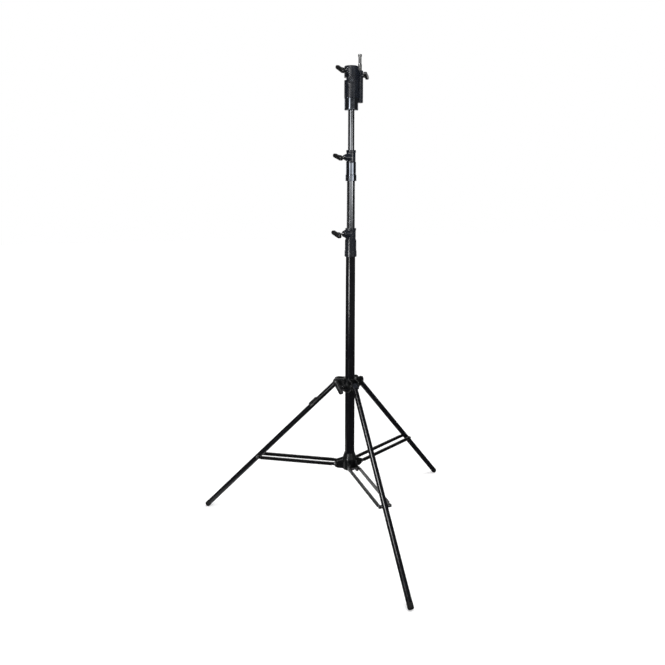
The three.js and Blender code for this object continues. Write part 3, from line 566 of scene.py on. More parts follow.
def endCapPiece():  # a moulded cap under the hub, hollowed in two steps below
    low, top = span("column_end_cap")
    cap = {"flange": 27.5, "thick": 2.8, "plug": 17.7, "wall": 3, "floor": 0.3,
           "rim": 23.5, "recess": 0.5, "eye": 10, "eyeDepth": 1.4, "slope": 1}
    flange, plug, inner = cap["flange"], cap["plug"], cap["plug"] - cap["wall"]
    step, floor = low + cap["thick"], low + cap["thick"] + cap["floor"]
    recess, eyeTop = low + cap["recess"], low + cap["eyeDepth"]
    corners = [
        (0, eyeTop), (cap["eye"] - cap["slope"], eyeTop, 0.4), (cap["eye"], recess, 0.3),
        (cap["rim"] - cap["slope"], recess, 0.3), (cap["rim"], low, 0.3), (flange, low, 1),
        (flange, step, 0.4), (plug, step, 0.3), (plug, top, 0.6), (inner, top, 0.6), (inner, floor, 0.6),
        (0, floor),
    ]
    bm = bmesh.new()
    turned(bm, eased(corners, closed=False), closed=False)
    makePiece("columnEndCap", bm, column, "blackPlastic", "base", "column_end_cap")


endCapPiece()


# Hub and leg collar: cast rings with ears for the pivots

def ears(bm, outline, inner, outer, edge=1):
    for azimuth in sides.values():
        stood = spin(azimuth) @ alongY
        slab(bm, outline, inner, outer, edge, stood)
        slab(bm, outline, -outer, -inner, edge, stood)


def hubPiece():  # heights over the end cap's underside
    hub = {"pivot": 21, "bore": 20.3, "ring": 29.5, "low": 3, "ringTop": 44, "neck": 21.9, "top": 68,
           "nose": 8, "earLow": 3.6, "earRoot": 21, "earInner": 12.7, "earOuter": 18.2}
    reach, earTop = pivots["reach"], hub["ringTop"] - 3
    bm = bmesh.new()
    ring = [(hub["bore"], hub["low"], 0.3), (hub["ring"], hub["low"], 2), (hub["ring"], hub["ringTop"], 5),
            (hub["neck"], hub["top"], 0.6), (hub["bore"], hub["top"], 0.3)]
    turned(bm, eased(ring))
    outline = [(hub["earRoot"], hub["earLow"]), (reach - 10, hub["earLow"]), (reach + 2, hub["nose"])]
    outline += arc(reach, hub["pivot"], hub["nose"], -50, 62)
    outline += [(hub["ring"] - 1, earTop), (hub["earRoot"], earTop)]
    ears(bm, outline, hub["earInner"], hub["earOuter"])
    at = column @ shift(z=span("column_end_cap")[0])
    makePiece("hubCasting", bm, at, "castBlackGlintEdged", "base", "hub_casting", voxel=0.7)


hubPiece()


def legCollarPiece():  # heights over the leg pivots
    collar = {"bore": 20.4, "outer": 27, "top": 20, "low": -37, "nose": 14, "earRoot": 21, "earTop": 19,
              "earInner": 11.3, "earOuter": 16.8, "lockAzimuth": 202}
    stub = {"start": 20.9, "foot": 14.5, "shoulder": 30, "radius": 12, "reach": 41, "bore": 5.2,
            "boreDepth": 7}
    reach, nose, outer, earLow = pivots["reach"], collar["nose"], collar["outer"], collar["low"] + 2
    bm = bmesh.new()
    turned(bm, eased([(collar["bore"], collar["low"], 0.3), (outer, collar["low"], 2),
                      (outer, collar["top"], 2), (collar["bore"], collar["top"], 0.3)]))
    outline = [(collar["earRoot"], earLow), (outer, earLow)] + arc(reach, 0, nose, -60, 8)
    outline += [(reach + nose - 1.2, 8), (reach + nose - 5, 14.5), (reach - 1, collar["earTop"] - 0.4)]
    outline += [(reach - 7, collar["earTop"]), (collar["earRoot"], collar["earTop"])]
    ears(bm, outline, collar["earInner"], collar["earOuter"])
    floor = stub["reach"] - stub["boreDepth"]
    profile = [(0, stub["start"]), (stub["foot"], stub["start"]), (stub["radius"] + 0.8, stub["shoulder"], 2),
               (stub["radius"], stub["reach"], 1.2), (stub["bore"] + 0.4, stub["reach"], 0.4),
               (stub["bore"], floor, 0.3), (0, floor)]
    aim = spin(collar["lockAzimuth"]) @ shift(z=middle("leg_lock_screw") - pivots["leg"]) @ alongX
    turned(bm, eased(profile, closed=False), aim, closed=False, around=64)
    at = column @ shift(z=pivots["leg"])
    makePiece("legCollar", bm, at, "castBlackGlintEdged", "leg_collar", "leg_collar", voxel=0.8)


legCollarPiece()

bolt = {"shank": 3, "across": 11, "head": 3, "nut": 2.88, "tip": 4, "washer": 6.1, "washerThick": 0.35,
        "washerEdge": 0.12, "sunk": 0.05, "past": 0.5}


def boltEnd(bm, kind, face, place, steps=4, around=40):  # a washer, and the head or the nut with the tip
    shank, end = bolt["shank"], face + bolt["tip"]
    rod(bm, bolt["washer"], face, face + bolt["washerThick"], place, (bolt["washerEdge"],) * 2, steps=steps)
    seat = face + bolt["washerThick"] - bolt["sunk"]
    hexCap(bm, bolt["across"], seat, seat + bolt[kind], place)
    if kind == "nut":
        domed = [(0, face), (shank, face), (shank, end - 0.2, 0.5), (0, end + 0.3)]
        turned(bm, eased(domed, closed=False), place, closed=False, around=around)


def pivotBoltPiece(name, half, at, body, node):  # a bolt along Y through a pair of ears
    bm = bmesh.new()
    rod(bm, bolt["shank"], -half - bolt["past"], half + bolt["past"], alongY)
    boltEnd(bm, "head", half, alongY, steps=2)
    boltEnd(bm, "nut", half, alongY @ spin(180, "X"), steps=2, around=48)
    makePiece(name, bm, at, "zincSteel", body, node, crease=30)


pivotBolts = {
    "hub": {"half": 21.5, "height": pivots["brace"], "body": "base"},
    "leg": {"half": 16.8, "height": pivots["leg"], "body": "leg_collar"},
}
for side, azimuth in sides.items():
    for kind, sizes in pivotBolts.items():
        at = aimed(azimuth, sizes["height"], pivots["reach"])
        pivotBoltPiece(f"{kind}Bolt_{side}", sizes["half"], at, sizes["body"], f"{kind}_bolt_{side}")
print("column, hub and leg collar made")


# Clamping collars

def collarPiece(name, collar, body, node):  # a band, a sleeve and a clamp with the boss for the lock
    bore, tubeBore, band, step = collar["bore"], collar["tubeBore"], collar["band"], 1.2
    bandR, sleeveR, clampR, lipR = collar["radii"]
    sleeveTop = band + collar["sleeve"]
    clampTop = sleeveTop + collar["clamp"]
    top = clampTop + collar["lip"]
    seam, necked = sleeveTop - 1, sleeveR - 0.25
    low = span(node)[0]
    at = column @ shift(z=low)
    bm = bmesh.new()
    corners = [(tubeBore, 0, 0.4), (bandR, 0, 1.2), (bandR, band, 1.0), (sleeveR, band + step, 0.8),
               (sleeveR, seam, 0.5), (tubeBore, seam, 0.3)]
    turned(bm, eased(corners), around=128)
    makePiece(name + "Sleeve", bm, at, collar["sleeveFinish"], body, node)
    bm = bmesh.new()
    corners = [
        (necked, seam, 0.2), (necked, seam + 0.4, 0.2), (clampR, sleeveTop + 3.2, 1.6),
        (clampR, clampTop - 0.6, 0.8), (lipR, clampTop + 0.8, 0.8), (lipR, top, 1.3), (bore + 1.6, top, 0.8),
        (bore, top - 1.6, 0.6), (bore, sleeveTop, 0.5), (tubeBore, sleeveTop, 0.4), (tubeBore, seam, 0.2),
    ]
    turned(bm, eased(corners), around=128)
    lift = middle(f"{collar['lock']}_lock_screw") - low

    def barrel(up):  # the clamp, easing out to the lip over a step's height each way
        share = min(1, max(0, (lift + up - clampTop + step) / (2 * step)))
        return clampR + (lipR - clampR) * share * share * (3 - 2 * share)

    boss(bm, collar["boss"], spin(lockAzimuth) @ shift(z=lift), barrel, 96)
    makePiece(name, bm, at, collar["clampFinish"], body, node)


collarPiece("baseCollar", {
    "bore": 17.9, "tubeBore": 20.2, "band": 25, "sleeve": 46, "clamp": 39, "lip": 10,
    "radii": (25.75, 24.5, 21.75, 23), "sleeveFinish": "blackCasting", "clampFinish": "blackCasting",
    "lock": "base", "boss": {"reach": 39, "tip": 13, "root": 18, "flare": 3, "edge": 1.6,
                             "bore": 4.9, "boreDepth": 12},
}, "base", "base_collar")
collarPiece("riserCollar", {
    "bore": 14.4, "tubeBore": 17.7, "band": 25, "sleeve": 53, "clamp": 42, "lip": 10,
    "radii": (24, 21.75, 19.5, 21), "sleeveFinish": "blackNickel", "clampFinish": "glossCasting",
    "lock": "riser_1", "boss": {"reach": 39, "tip": 10, "root": 16.6, "flare": 2.6, "edge": 1.4,
                                "bore": 4.9, "boreDepth": 12},
}, "riser_1", "riser_1_collar")


def rivetPiece(name, reach, body, node):
    rivet = {"azimuth": 199, "radius": 2.9, "dome": 0.75, "shank": 2.5, "depth": 1.4, "step": 0.1}
    bends = [radians(a) for a in range(0, 91, 15)]
    dome = [(rivet["radius"] * cos(a), rivet["dome"] * sin(a)) for a in bends]
    shank, depth = rivet["shank"], rivet["depth"]
    bm = bmesh.new()
    profile = [(0, -depth), (shank, -depth), (shank, -rivet["step"])] + dome
    turned(bm, profile, alongX, closed=False, around=40)
    at = aimed(rivet["azimuth"], middle(node), reach)
    makePiece(name, bm, at, "zincSteel", body, node, crease=60)


rivetPiece("baseCollarRivet", 25.7, "base", "base_collar_rivet")
rivetPiece("riserCollarRivet", 23.95, "riser_1", "riser_1_collar_rivet")
print("collars made")


# Combo head: socket drum, stud holder beside it, smooth sleeve below

headTurn = 10
headAt = aimed(headTurn)
holderAt = shift(41)  # the stud holder's axis, from the drum's
headLow, headTop = span("head_casting")
sleeveLow, sleeveHigh = span("head_sleeve")
drum = {"radius": 30.5, "bore": 14.3, "low": sleeveHigh + 0.3, "top": headTop, "shoulder": 3, "mouth": 3.2}
holder = {"radius": 13.8, "bore": 8.3, "low": headLow, "top": headTop - 16, "floor": 5}
web = {"low": drum["low"] + 0.5, "top": headTop - 20, "hollow": 10, "overlap": 1.2, "edge": 0.5,
       "heart": (29.7, 6.4), "steps": 16}
safetySlot = {"azimuth": 161, "height": headTop - 55, "tall": 12, "half": 34, "depth": 9, "corner": 2}
headBosses = {
    "socket": {"azimuth": 200, "screw": "socket_lock_screw", "reach": 34, "tip": 11, "root": 11.6, "flare": 2,
               "edge": 1.2, "bore": 4.9, "boreDepth": 9, "around": 80},
    "stop": {"azimuth": 251, "screw": "socket_stop_screw", "reach": 33, "tip": 12, "root": 12.4, "flare": 1.5,
             "edge": 0.9, "bore": 5.75, "boreDepth": 8.6, "around": 80},
    "stud": {"azimuth": 328, "screw": "stud_lock_screw", "reach": 14.5, "tip": 9.3, "root": 9.5, "flare": 0.8,
             "edge": 0.6, "bore": 4.9, "boreDepth": 4, "around": 64},
}


def slottedDrum():  # the drum, with its safety slot cut by a boolean
    r, bore, low, top = drum["radius"], drum["bore"], drum["low"], drum["top"]
    shoulder, mouth = drum["shoulder"], drum["mouth"]
    shell = bmesh.new()
    ring = [(bore, low, 0.5), (r, low, 1.2), (r, top - shoulder, 1.6), (r - shoulder, top, 1.6),
            (bore + mouth, top, 0.8), (bore, top - mouth, 1.2)]
    turned(shell, eased(ring), around=144)
    cutter = bmesh.new()
    half, tall = safetySlot["half"], safetySlot["tall"] / 2
    outline = eased(rectangle(-half, half, -tall, tall, safetySlot["corner"]))
    aim = spin(safetySlot["azimuth"] - headTurn) @ shift(z=safetySlot["height"]) @ alongX
    slab(cutter, outline, r - safetySlot["depth"], r + 8, 0.6, aim)
    bmesh.ops.recalc_face_normals(cutter, faces=cutter.faces)
    shellObject, cutObject = meshObject("drumShell", shell), meshObject("slotCutter", cutter)
    cut = shellObject.modifiers.new("slot", "BOOLEAN")
    cut.operation = "DIFFERENCE"
    cut.solver = "EXACT"
    cut.object = cutObject
    done = shellObject.evaluated_get(bpy.context.evaluated_depsgraph_get())
    bm = bmesh.new()
    bm.from_mesh(done.to_mesh())
    done.to_mesh_clear()
    for scratch in (shellObject, cutObject):
        bpy.data.objects.remove(scratch)
    return bm


def addHolder(bm):
    r, bore, low, top = holder["radius"], holder["bore"], holder["low"], holder["top"]
    floor = low + holder["floor"]
    corners = [(0, low), (r, low, 3.2), (r, top, 2.2), (bore + 1, top, 0.5), (bore, top - 1, 0.4),
               (bore, floor, 1), (0, floor)]
    turned(bm, eased(corners, closed=False, steps=5), holderAt, closed=False)


def addWebs(bm):  # concave fillets between drum and holder, one on each side
    big, small, offset = drum["radius"], holder["radius"], holderAt.translation.x
    f = web["hollow"]
    x = ((big + f) ** 2 - (small + f) ** 2 + offset ** 2) / (2 * offset)
    y = sqrt((big + f) ** 2 - x ** 2)
    start = atan2(-y, -x)
    sweep = (atan2(-y, offset - x) - start + pi) % (2 * pi) - pi
    turns = [start + sweep * k / web["steps"] for k in range(web["steps"] + 1)]
    curve = [(x + f * cos(a), y + f * sin(a)) for a in turns]
    centre = Vector((offset, 0))
    inDrum = Vector(curve[0]) * (big - web["overlap"]) / big
    inHolder = centre + (Vector(curve[-1]) - centre) * (small - web["overlap"]) / small
    outline = curve + [tuple(inHolder), web["heart"], tuple(inDrum)]
    for flip in (1, -1):
        slab(bm, [(u, v * flip) for u, v in outline], web["low"], web["top"], web["edge"], Matrix())


def headPiece():
    bm = slottedDrum()
    addHolder(bm)
    addWebs(bm)
    for name, sizes in headBosses.items():
        barrelRadius, axis = (holder["radius"], holderAt) if name == "stud" else (drum["radius"], Matrix())
        aim = axis @ spin(sizes["azimuth"] - headTurn) @ shift(z=middle(sizes["screw"]))
        boss(bm, sizes, aim, lambda up: barrelRadius, sizes["around"])
    makePiece("headCasting", bm, headAt, "blackCasting", "riser_2", "head_casting")


def sleevePiece():
    sleeve = {"radius": 30.2, "bore": 14.3, "lead": 3, "band": 8, "relief": 0.6, "rim": 1}
    r, bore, lead, relief = sleeve["radius"], sleeve["bore"], sleeve["lead"], sleeve["relief"]
    bandTop, rimLow = sleeveLow + sleeve["band"], sleeveHigh - sleeve["rim"]
    corners = [(bore, sleeveLow, 0.5), (r - lead, sleeveLow, 1.2), (r, sleeveLow + lead, 1.4),
               (r, bandTop, 0.6), (r - relief, bandTop + relief, 0.6), (r - relief, rimLow - relief, 0.6),
               (r, rimLow, 0.5), (r, sleeveHigh, 0.5), (bore, sleeveHigh, 0.5)]
    bm = bmesh.new()
    turned(bm, eased(corners), around=128)
    makePiece("headSleeve", bm, headAt, "blackNickel", "riser_2", "head_sleeve")


def studPiece():
    low, top = span("stud_pin")
    stud = {"radius": 8, "waist": 6.5, "waistLow": top - 42, "waistTop": top - 12, "slope": 1.5}
    r, waist, slope = stud["radius"], stud["waist"], stud["slope"]
    corners = [(0, low), (r, low, 1.5), (r, stud["waistLow"] - slope, 1.2), (waist, stud["waistLow"], 1),
               (waist, stud["waistTop"], 1), (r, stud["waistTop"] + slope, 0.8), (r, top, 1.5), (0, top)]
    bm = bmesh.new()
    turned(bm, eased(corners, closed=False, steps=5), closed=False, around=72)
    at = headAt @ holderAt
    makePiece("studPin", bm, at, "brightChrome", "stud", "stud_pin", crease=50)


def stopScrewPiece():  # a grub screw with a hexagon key hole
    screw = {"radius": 5.5, "inner": 25, "face": 33, "key": 5, "keyDepth": 3, "keyMouth": 3.6, "around": 60}
    r, inner, face, around = screw["radius"], screw["inner"], screw["face"], screw["around"]
    key, floor, rim = hexagon(screw["key"]), face - screw["keyDepth"], face - 0.15
    rounds = [(r, inner), (r, face - 0.9), (r - 0.7, rim), (screw["keyMouth"], rim), (key, face - 0.5),
              (key, floor)]
    rows = [[(0, 0, inner)]] + [circle(radius, height, around) for radius, height in rounds]
    rows.append([(0, 0, floor - 0.8)])
    bm = bmesh.new()
    skin(bm, alongX, rows)
    at = aimed(headBosses["stop"]["azimuth"], middle("socket_stop_screw"))
    makePiece("socketStopScrew", bm, at, "blackNickel", "riser_2", "socket_stop_screw",
              crease=30)


headPiece()
sleevePiece()
studPiece()
stopScrewPiece()
print("head made")


# T-handle locks

handle = {"length": 58, "width": 17, "depth": 14, "round": 2.4, "taper": 0.04, "hubRoot": 8, "hub": 9.5,
          "hubLength": 18, "bore": 4.75, "boreEnd": -3, "crown": 5.4,
          "dish": {"rim": 1.6, "depth": 0.9, "lip": 0.5, "lipDrop": 0.15}}
lockScrew = {"radius": 4.5, "depth": 0.55, "pitch": 1.25, "core": 4.1, "plain": 4.4}
locks = {  # start is the screw's inner end; boss is the reach of the boss it goes through
    "base": {"azimuth": lockAzimuth, "tilt": -20, "reach": 76, "start": 21.1, "boss": 39},
    "riser_1": {"azimuth": lockAzimuth, "tilt": -20, "reach": 70, "start": 17.6, "boss": 39},
    "socket": {"azimuth": lockAzimuth, "tilt": -31, "reach": 60, "start": 17.9, "boss": 34},
    "stud": {"azimuth": 318, "axis": headAt @ holderAt, "tilt": -15, "reach": 27, "start": 8.3, "boss": 14.5,
             "hub": 11.5},
    "leg": {"azimuth": 202, "tilt": -44, "reach": 62, "start": 23.9, "boss": 41},
}


def handleMesh(hubLength):
    end, half = handle["width"] / 2, handle["depth"] / 2
    run = handle["length"] / 2 - end
    outline = arc(run, 0, end, -90, 90, 20) + arc(-run, 0, end, 90, 270, 20)
    bm = bmesh.new()
    slab(bm, outline, -half, half, handle["round"], alongX, handle["dish"], steps=5)
    for v in bm.verts:  # the bar thins a little towards its ends
        share = 1 - handle["taper"] * (v.co.y / handle["length"] * 2) ** 2
        v.co.x *= share
        v.co.z *= share
    start, bore, root, crown = -hubLength, handle["bore"], handle["hubRoot"], handle["crown"]
    corners = [(bore, handle["boreEnd"]), (bore, start + 0.6), (bore + 0.6, start, 0.3), (root, start, 1.4),
               (root + 0.5, start + 5, 3), (handle["hub"], 0.5, 2), (handle["hub"] - 2.4, crown, 2),
               (0, crown)]
    profile = eased(corners, closed=False) + [(0, handle["boreEnd"])]
    turned(bm, profile, alongX, closed=False, around=64)
    return bm


def lockPieces(name, lock):
    hubLength = lock.get("hub", handle["hubLength"])
    at = lock.get("axis", column) @ spin(lock["azimuth"]) @ shift(z=middle(f"{name}_lock_screw"))
    knobAt = at @ shift(lock["reach"]) @ spin(lock["tilt"], "X")
    body = f"{name}_lock"
    makePiece(f"{name}Handle", handleMesh(hubLength), knobAt, "blackPlastic", body,
              f"{body}_knob")
    start, overlap = lock["start"], 0.5
    threadStart = max(start + 1, lock["boss"] - 10)
    threadEnd = lock["reach"] - hubLength + 3
    bm = bmesh.new()
    if threadStart > start + 1:  # the part inside the boss is left plain
        rod(bm, lockScrew["core"], start, threadStart + overlap, alongX, (0.8, 0), around=40)
    threaded(bm, lockScrew, threadStart, threadEnd, alongX)
    rod(bm, lockScrew["plain"], threadEnd - overlap, lock["reach"] - 3.4, alongX, around=40)
    makePiece(f"{name}Screw", bm, at, "zincSteel", body, f"{body}_screw", crease=50)


for name, lock in locks.items():
    lockPieces(name, lock)
print("locks made")


# Legs

leg = {"diameter": 21.5, "wall": 1.5, "start": 14.3, "end": 796.7, "length": 817, "slope": 44.8,
       "finish": "glossBlack", "slot": "gloss_black"}
endwise = spin(90, "Y")  # a turned piece runs along the leg, -X its upper face


def legAt(azimuth):  # the leg runs along X from its top pivot
    return aimed(azimuth, pivots["leg"], pivots["reach"]) @ spin(leg["slope"], "Y")


def legPlugPiece(side, azimuth):
    plug = {"nose": 10, "run": 14, "half": 10.7, "spigot": 8.95, "spigotStart": 6, "spigotEnd": 44}
    nose, run = plug["nose"], plug["run"]
    outline = arc(0, 0, nose, 90, 270, 24) + [(run, -nose), (run, nose)]
    bm = bmesh.new()
    slab(bm, outline, -plug["half"], plug["half"], 1.6, alongY, steps=4)
    rod(bm, plug["spigot"], plug["spigotStart"], plug["spigotEnd"], alongX, (0, 1))
    makePiece(f"legPlug_{side}", bm, legAt(azimuth), "blackCasting", f"leg_{side}",
              f"leg_plug_{side}")


def footPiece(side, azimuth):
    foot = {"stem": 8.95, "stemLow": 769, "rim": 797, "radius": 11.25, "chamfer": 3, "bevel": 1.4,
            "groove": 5.4, "grooveDepth": 0.6, "grooveFloor": 1, "faceRings": (6.4, 4.2, 2, 0)}
    r, rim, tip, chamfer, bevel = foot["radius"], foot["rim"], leg["length"], foot["chamfer"], foot["bevel"]
    deep = foot["grooveDepth"]
    grooveLow, grooveTop = rim + foot["groove"], rim + foot["groove"] + 2 * deep + foot["grooveFloor"]
    corners = [(0, foot["stemLow"]), (foot["stem"], foot["stemLow"], 1), (foot["stem"], rim), (r, rim, 0.9),
               (r, grooveLow, 0.3), (r - deep, grooveLow + deep, 0.3), (r - deep, grooveTop - deep, 0.3),
               (r, grooveTop, 0.3), (r, tip - chamfer, 1), (r - bevel, tip - bevel, 1), (r - chamfer, tip, 1)]
    corners += [(radius, tip) for radius in foot["faceRings"]]
    bm = bmesh.new()
    turned(bm, eased(corners, closed=False), closed=False, around=72)
    slope = radians(leg["slope"])
    down = Vector((cos(slope), 0, sin(slope)))  # the world's down, in the foot's own axes
    for v in bm.verts:  # the rubber presses flat on the floor
        under = v.co.dot(down) - pivots["leg"]
        if under > 0:
            v.co -= down * under
    bmesh.ops.transform(bm, matrix=legAt(azimuth) @ endwise, verts=bm.verts)
    makePiece(f"foot_{side}_pad", bm, Matrix(), "blackRubber", f"leg_{side}", f"foot_{side}")


for side, azimuth in sides.items():
    tubePiece(f"legTube_{side}", leg, leg["start"], leg["end"], legAt(azimuth) @ endwise, f"leg_{side}",
              f"leg_tube_{side}")
    legPlugPiece(side, azimuth)
    footPiece(side, azimuth)


def legClipPiece():
    clip = {"start": 115, "length": 42, "inner": 11.05, "wall": 1.9, "wrap": 200, "padWide": 12,
            "padTop": 14.75, "padRoot": 1.6, "padCorner": 4,
            "dish": {"rim": 0.8, "depth": 0.5, "lip": 0.5, "lipDrop": 0.15}}
    low, high = 180 - clip["wrap"] / 2, 180 + clip["wrap"] / 2
    outer, half, wide = clip["inner"] + clip["wall"], clip["length"] / 2, clip["padWide"] / 2
    bm = bmesh.new()
    outline = arc(0, 0, outer, low, high, 48) + arc(0, 0, clip["inner"], high, low, 48)
    slab(bm, outline, clip["start"], clip["start"] + clip["length"], 0.5, Matrix())
    pad = eased(rectangle(-half, half, -wide, wide, clip["padCorner"]))
    over = shift(z=clip["start"] + half) @ spin(-90, "Y")
    slab(bm, pad, outer - clip["padRoot"], clip["padTop"], 0.8, over, clip["dish"])
    makePiece("legClip", bm, legAt(sides["left"]) @ endwise, "blackPlastic", "leg_left",
              "leg_clip")


legClipPiece()
print("legs made")


# Braces: two strips each, bolted beside the leg

brace = {"length": 342.72, "height": 13, "inner": 18.5, "thick": 3, "slope": 0.047,
         "flange": {"start": 14, "reach": 3.4, "wall": 1.5, "root": 1, "tuck": 0.05},
         "spacer": {"radius": 6, "low": 11.05, "high": 18.45}}


def bracePieces(side, azimuth):
    at = aimed(azimuth, pivots["brace"], pivots["reach"]) @ spin(brace["slope"], "Y")
    half, length, lip, spacer = brace["height"] / 2, brace["length"], brace["flange"], brace["spacer"]
    inner, outer = brace["inner"], brace["inner"] + brace["thick"]
    outline = arc(0, 0, half, 90, 270, 20) + arc(length, 0, half, -90, 90, 20)
    for end, sign in (("a", -1), ("b", 1)):
        bm = bmesh.new()
        slab(bm, outline, *sorted((sign * inner, sign * outer)), 0.55, alongY)
        reach = sorted((sign * (outer - lip["root"]), sign * (outer + lip["reach"])))
        for low in (half - lip["tuck"] - lip["wall"], lip["tuck"] - half):
            bar = eased(rectangle(lip["start"], length - lip["start"], low, low + lip["wall"]))
            slab(bm, bar, *reach, 0.4, alongY)
        makePiece(f"braceStrip_{side}_{end}", bm, at, "braceBlack", f"brace_{side}",
                  f"brace_strip_{side}_{end}")
    for end, kind, flip in (("bolt", "head", 180), ("nut", "nut", 0)):
        place = alongY @ spin(flip, "X")
        bm = bmesh.new()
        rod(bm, spacer["radius"], spacer["low"], spacer["high"], place, (0.4, 0.4))
        rod(bm, bolt["shank"], inner - bolt["past"], outer + 2 * bolt["past"], place, around=32)
        boltEnd(bm, kind, outer, place)
        makePiece(f"brace_{end}_{side}_end", bm, at @ shift(length), "zincSteel", f"brace_{side}",
                  f"brace_{end}_{side}", crease=30)


for side, azimuth in sides.items():
    bracePieces(side, azimuth)
print("braces made")


# CAD nodes that stay: bushes and pads inside the column

kept = {
    "nylon": ["base_collar_bush", "riser_1_collar_bush", "riser_1_foot_bush", "riser_2_foot_bush"],
    "brass": ["base_lock_pad", "riser_1_lock_pad", "socket_lock_pad", "leg_lock_pad"],
}
for finish, names in kept.items():
    for name in names:
        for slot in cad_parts[name].material_slots:
            slot.material = finishes[finish]


# Studio, in metres

def seenDirectly(tree):  # camera, mirror and glass rays
    path = add(tree, "LightPath").outputs
    either = combined(tree, "MAXIMUM", path["Is Camera Ray"], path["Is Glossy Ray"])
    return combined(tree, "MAXIMUM", either, path["Is Transmission Ray"])


def worldLight(fill):
    world = bpy.data.worlds.new("studio")
    world.use_nodes = True
    scene.world = world
    tree = world.node_tree
    tree.nodes.clear()
    soft = add(tree, "Background", {"Color": (1, 1, 1, 1), "Strength": fill})
    white = add(tree, "Background", {"Color": (1, 1, 1, 1), "Strength": 1.0})
    mix = add(tree, "MixShader", {0: seenDirectly(tree), 1: soft.outputs[0], 2: white.outputs[0]})
    out = tree.nodes.new("ShaderNodeOutputWorld")
    tree.links.new(mix.outputs[0], out.inputs["Surface"])


def floorPlane(sizes):
    bm = bmesh.new()
    bmesh.ops.create_grid(bm, x_segments=8, y_segments=8, size=sizes["half"])
    bmesh.ops.translate(bm, vec=(0, 0, -sizes["drop"]), verts=bm.verts)
    material, inputs = shaded("paleFloor", {"Base Color": (*grey(sizes["tone"]), 1), "Roughness": 0.9,
                                            "Specular IOR Level": 0.1, "Emission Strength": 1})
    tree = material.node_tree
    distance = add(tree, "VectorMath", {0: objectSpace(tree)}, operation="LENGTH").outputs["Value"]
    lift = spread(tree, distance, sizes["near"], sizes["far"], *sizes["glow"])
    tree.links.new(times(tree, seenDirectly(tree), lift), inputs["Emission Color"])
    meshObject("floor", bm, material)


def hungCard(name, bm, finish):  # it shows only in reflections
    card = meshObject(name, bm, finish)
    for ray in ("camera", "diffuse", "transmission", "volume_scatter", "shadow"):
        setattr(card, "visible_" + ray, False)


def wallCard(name, finish, card):  # a card bent round the stand; turn is from the camera, to its right
    radius, wide = card.get("radius", cardRadius), card["wide"]
    steps = max(2, int(wide / 5))
    bm = bmesh.new()
    rows = []
    for k in range(steps + 1):
        a = radians(card["turn"] + wide * (k / steps - 0.5) - view["azimuth"])
        x, y = radius * sin(a), standY - radius * cos(a)
        rows.append([bm.verts.new((x, y, card[end])) for end in ("low", "top")])
    for here, on in zip(rows, rows[1:]):
        bm.faces.new((here[0], on[0], on[1], here[1]))
    hungCard(name, bm, finish)


def discCard(name, finish, height, inner, outer, start=0, end=360):
    bm = bmesh.new()
    edges = [[bm.verts.new((*point, height)) for point in arc(0, standY, radius, start, end, 48)]
             for radius in (inner, outer)]
    for a, b, c, d in zip(edges[0], edges[0][1:], edges[1][1:], edges[1]):
        bm.faces.new((a, b, c, d))
    hungCard(name, bm, finish)


def cloth(name, tone):  # an evenly lit cloth
    return shaded(name, {"Base Color": black, "Specular IOR Level": 0, "Emission Color": (*grey(tone), 1),
                         "Emission Strength": 1})[0]


def glowing(name, card):  # a lit card that fades to its ends or sides, or is brighter on one side
    material, inputs = shaded(name, {"Base Color": black, "Emission Strength": card["glow"]})
    tree = material.node_tree
    across = add(tree, "SeparateXYZ", {0: add(tree, "TexCoord").outputs["Generated"]}).outputs
    light = spread(tree, combined(tree, "PINGPONG", across["Z"], 0.5), 0.0, card["soft"])
    if "fade" in card:
        nearSide = combined(tree, "PINGPONG", across["X"], 0.5)
        light = times(tree, light, spread(tree, nearSide, 0.0, card["fade"]))
    if "sides" in card:
        left, right = card["sides"]
        slope = add(tree, "MapRange", {"Value": across["X"], "To Min": left, "To Max": right})
        light = times(tree, light, slope.outputs["Result"])
    tree.links.new(light, inputs["Emission Color"])
    return material


def softbox(name, box):  # lights the stand, but doesn't show in it
    light = bpy.data.lights.new(name, "AREA")
    light.shape = "RECTANGLE"
    light.size, light.size_y = box["wide"], box["tall"]
    light.energy = box["power"]
    lamp = bpy.data.objects.new(name, light)
    scene.collection.objects.link(lamp)
    lamp.location = box["at"]
    aim = Vector((0, standY, box["aim"])) - Vector(box["at"])
    lamp.rotation_euler = aim.to_track_quat("-Z", "Y").to_euler()
    lamp.visible_camera = False
    lamp.visible_glossy = False


def photoCamera():
    camera = bpy.data.objects.new("photoCamera", bpy.data.cameras.new("photoCamera"))
    scene.collection.objects.link(camera)
    turn = radians(view["azimuth"])
    camera.data.sensor_width = view["sensor"]
    camera.data.lens = view["lens"]
    camera.data.shift_x, camera.data.shift_y = view["shift"]
    camera.data.clip_end = 60
    back = Vector((sin(turn), cos(turn), 0)) * view["distance"]
    stood = Matrix.Translation(Vector((0, standY, view["height"])) - back)
    camera.matrix_world = stood @ spin(-view["azimuth"]) @ spin(90, "X") @ spin(view["roll"])
    scene.camera = camera


black = (0, 0, 0, 1)
standY = columnY * mm
view = {"azimuth": 18.99, "distance": 2.84, "height": 1.42, "roll": 0.29049, "lens": 36.487, "sensor": 36,
        "shift": (-0.02771, -0.22475)}
photoCamera()
worldLight(0.7)
floorPlane({"half": 14, "drop": 0.0002, "tone": 0.86, "near": 1.2, "far": 4.5, "glow": (0.3, 0.5)})

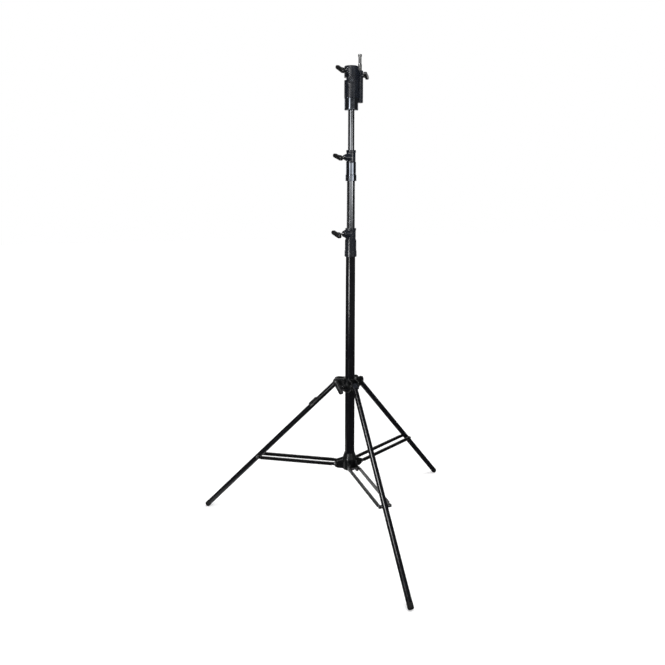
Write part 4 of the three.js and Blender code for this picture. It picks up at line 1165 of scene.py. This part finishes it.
cardRadius = 3.2
cards = {
    "frontPanel": {"turn": 6, "wide": 100, "low": 0.9, "top": 2.3, "radius": 4.4, "glow": 0.62, "soft": 0.25,
                   "sides": (0.6, 1.45)},
    "leftLow": {"turn": -34, "wide": 24, "low": 0.16, "top": 0.84, "glow": 30, "soft": 0.5, "fade": 0.5},
    "leftHigh": {"turn": -29, "wide": 26, "low": 1.42, "top": 2.35, "glow": 3.2, "soft": 0.12, "fade": 0.5},
    "studKey": {"turn": -8, "wide": 26, "low": 2.42, "top": 2.85, "glow": 1.6, "soft": 0.12},
    "studFill": {"turn": 42, "wide": 36, "low": 2.42, "top": 2.85, "glow": 0.4, "soft": 0.12},
    "backMiddle": {"turn": 180, "wide": 70, "low": 1.0, "top": 2.3, "glow": 0.9, "soft": 0.3},
    "rightHigh": {"turn": 42, "wide": 26, "low": 1.15, "top": 1.85, "glow": 3.6, "soft": 0.3, "fade": 0.5},
    "leftKey": {"turn": -40, "wide": 24, "low": 2.75, "top": 4.95, "glow": 20, "soft": 0.2},
    "backLeft": {"turn": -140, "wide": 14, "low": 0.5, "top": 2.6, "glow": 2, "soft": 0.2},
    "backRight": {"turn": 150, "wide": 14, "low": 0.5, "top": 2.6, "glow": 2, "soft": 0.2},
}
flagCloth = cloth("flagCloth", 0.03)
greyCloth = cloth("greyCloth", 0.12)
tent = {"radius": 4.6, "lowRadius": 4.5, "low": -0.2, "lowTop": 0.9, "top": 5, "floor": 0.001,
        "floorEdge": 3.3, "gap": 0.03}
wallCard("flagWall", flagCloth, {"turn": 180, "wide": 360, "low": tent["low"], "top": tent["top"],
                                 "radius": tent["radius"]})
wallCard("lowWall", greyCloth, {"turn": 180, "wide": 360, "low": tent["low"], "top": tent["lowTop"],
                                "radius": tent["lowRadius"]})
discCard("flagCeiling", flagCloth, tent["top"], tent["gap"], tent["radius"])
discCard("flagFloor", flagCloth, tent["floor"], tent["gap"], tent["floorEdge"])
discCard("greyFloor", greyCloth, tent["floor"], tent["floorEdge"], tent["radius"])
discCard("floorBehind", cloth("paleCloth", 0.7), height=0.002, inner=0.12, outer=0.95, start=70, end=170)
for name, card in cards.items():
    wallCard(name, glowing(name, card), card)

softboxes = {
    "keyBox": {"at": (-2.3, -2.4, 2.7), "aim": 1.4, "wide": 0.8, "tall": 1.7, "power": 42},
    "topBox": {"at": (0.3, -0.9, 3.6), "aim": 0.8, "wide": 1.6, "tall": 1.2, "power": 40},
    "fillBox": {"at": (2.0, -1.9, 2.4), "aim": 1.2, "wide": 0.8, "tall": 1.4, "power": 14},
}
for name, box in softboxes.items():
    softbox(name, box)
scene.view_settings.view_transform = "Standard"
print("studio set")
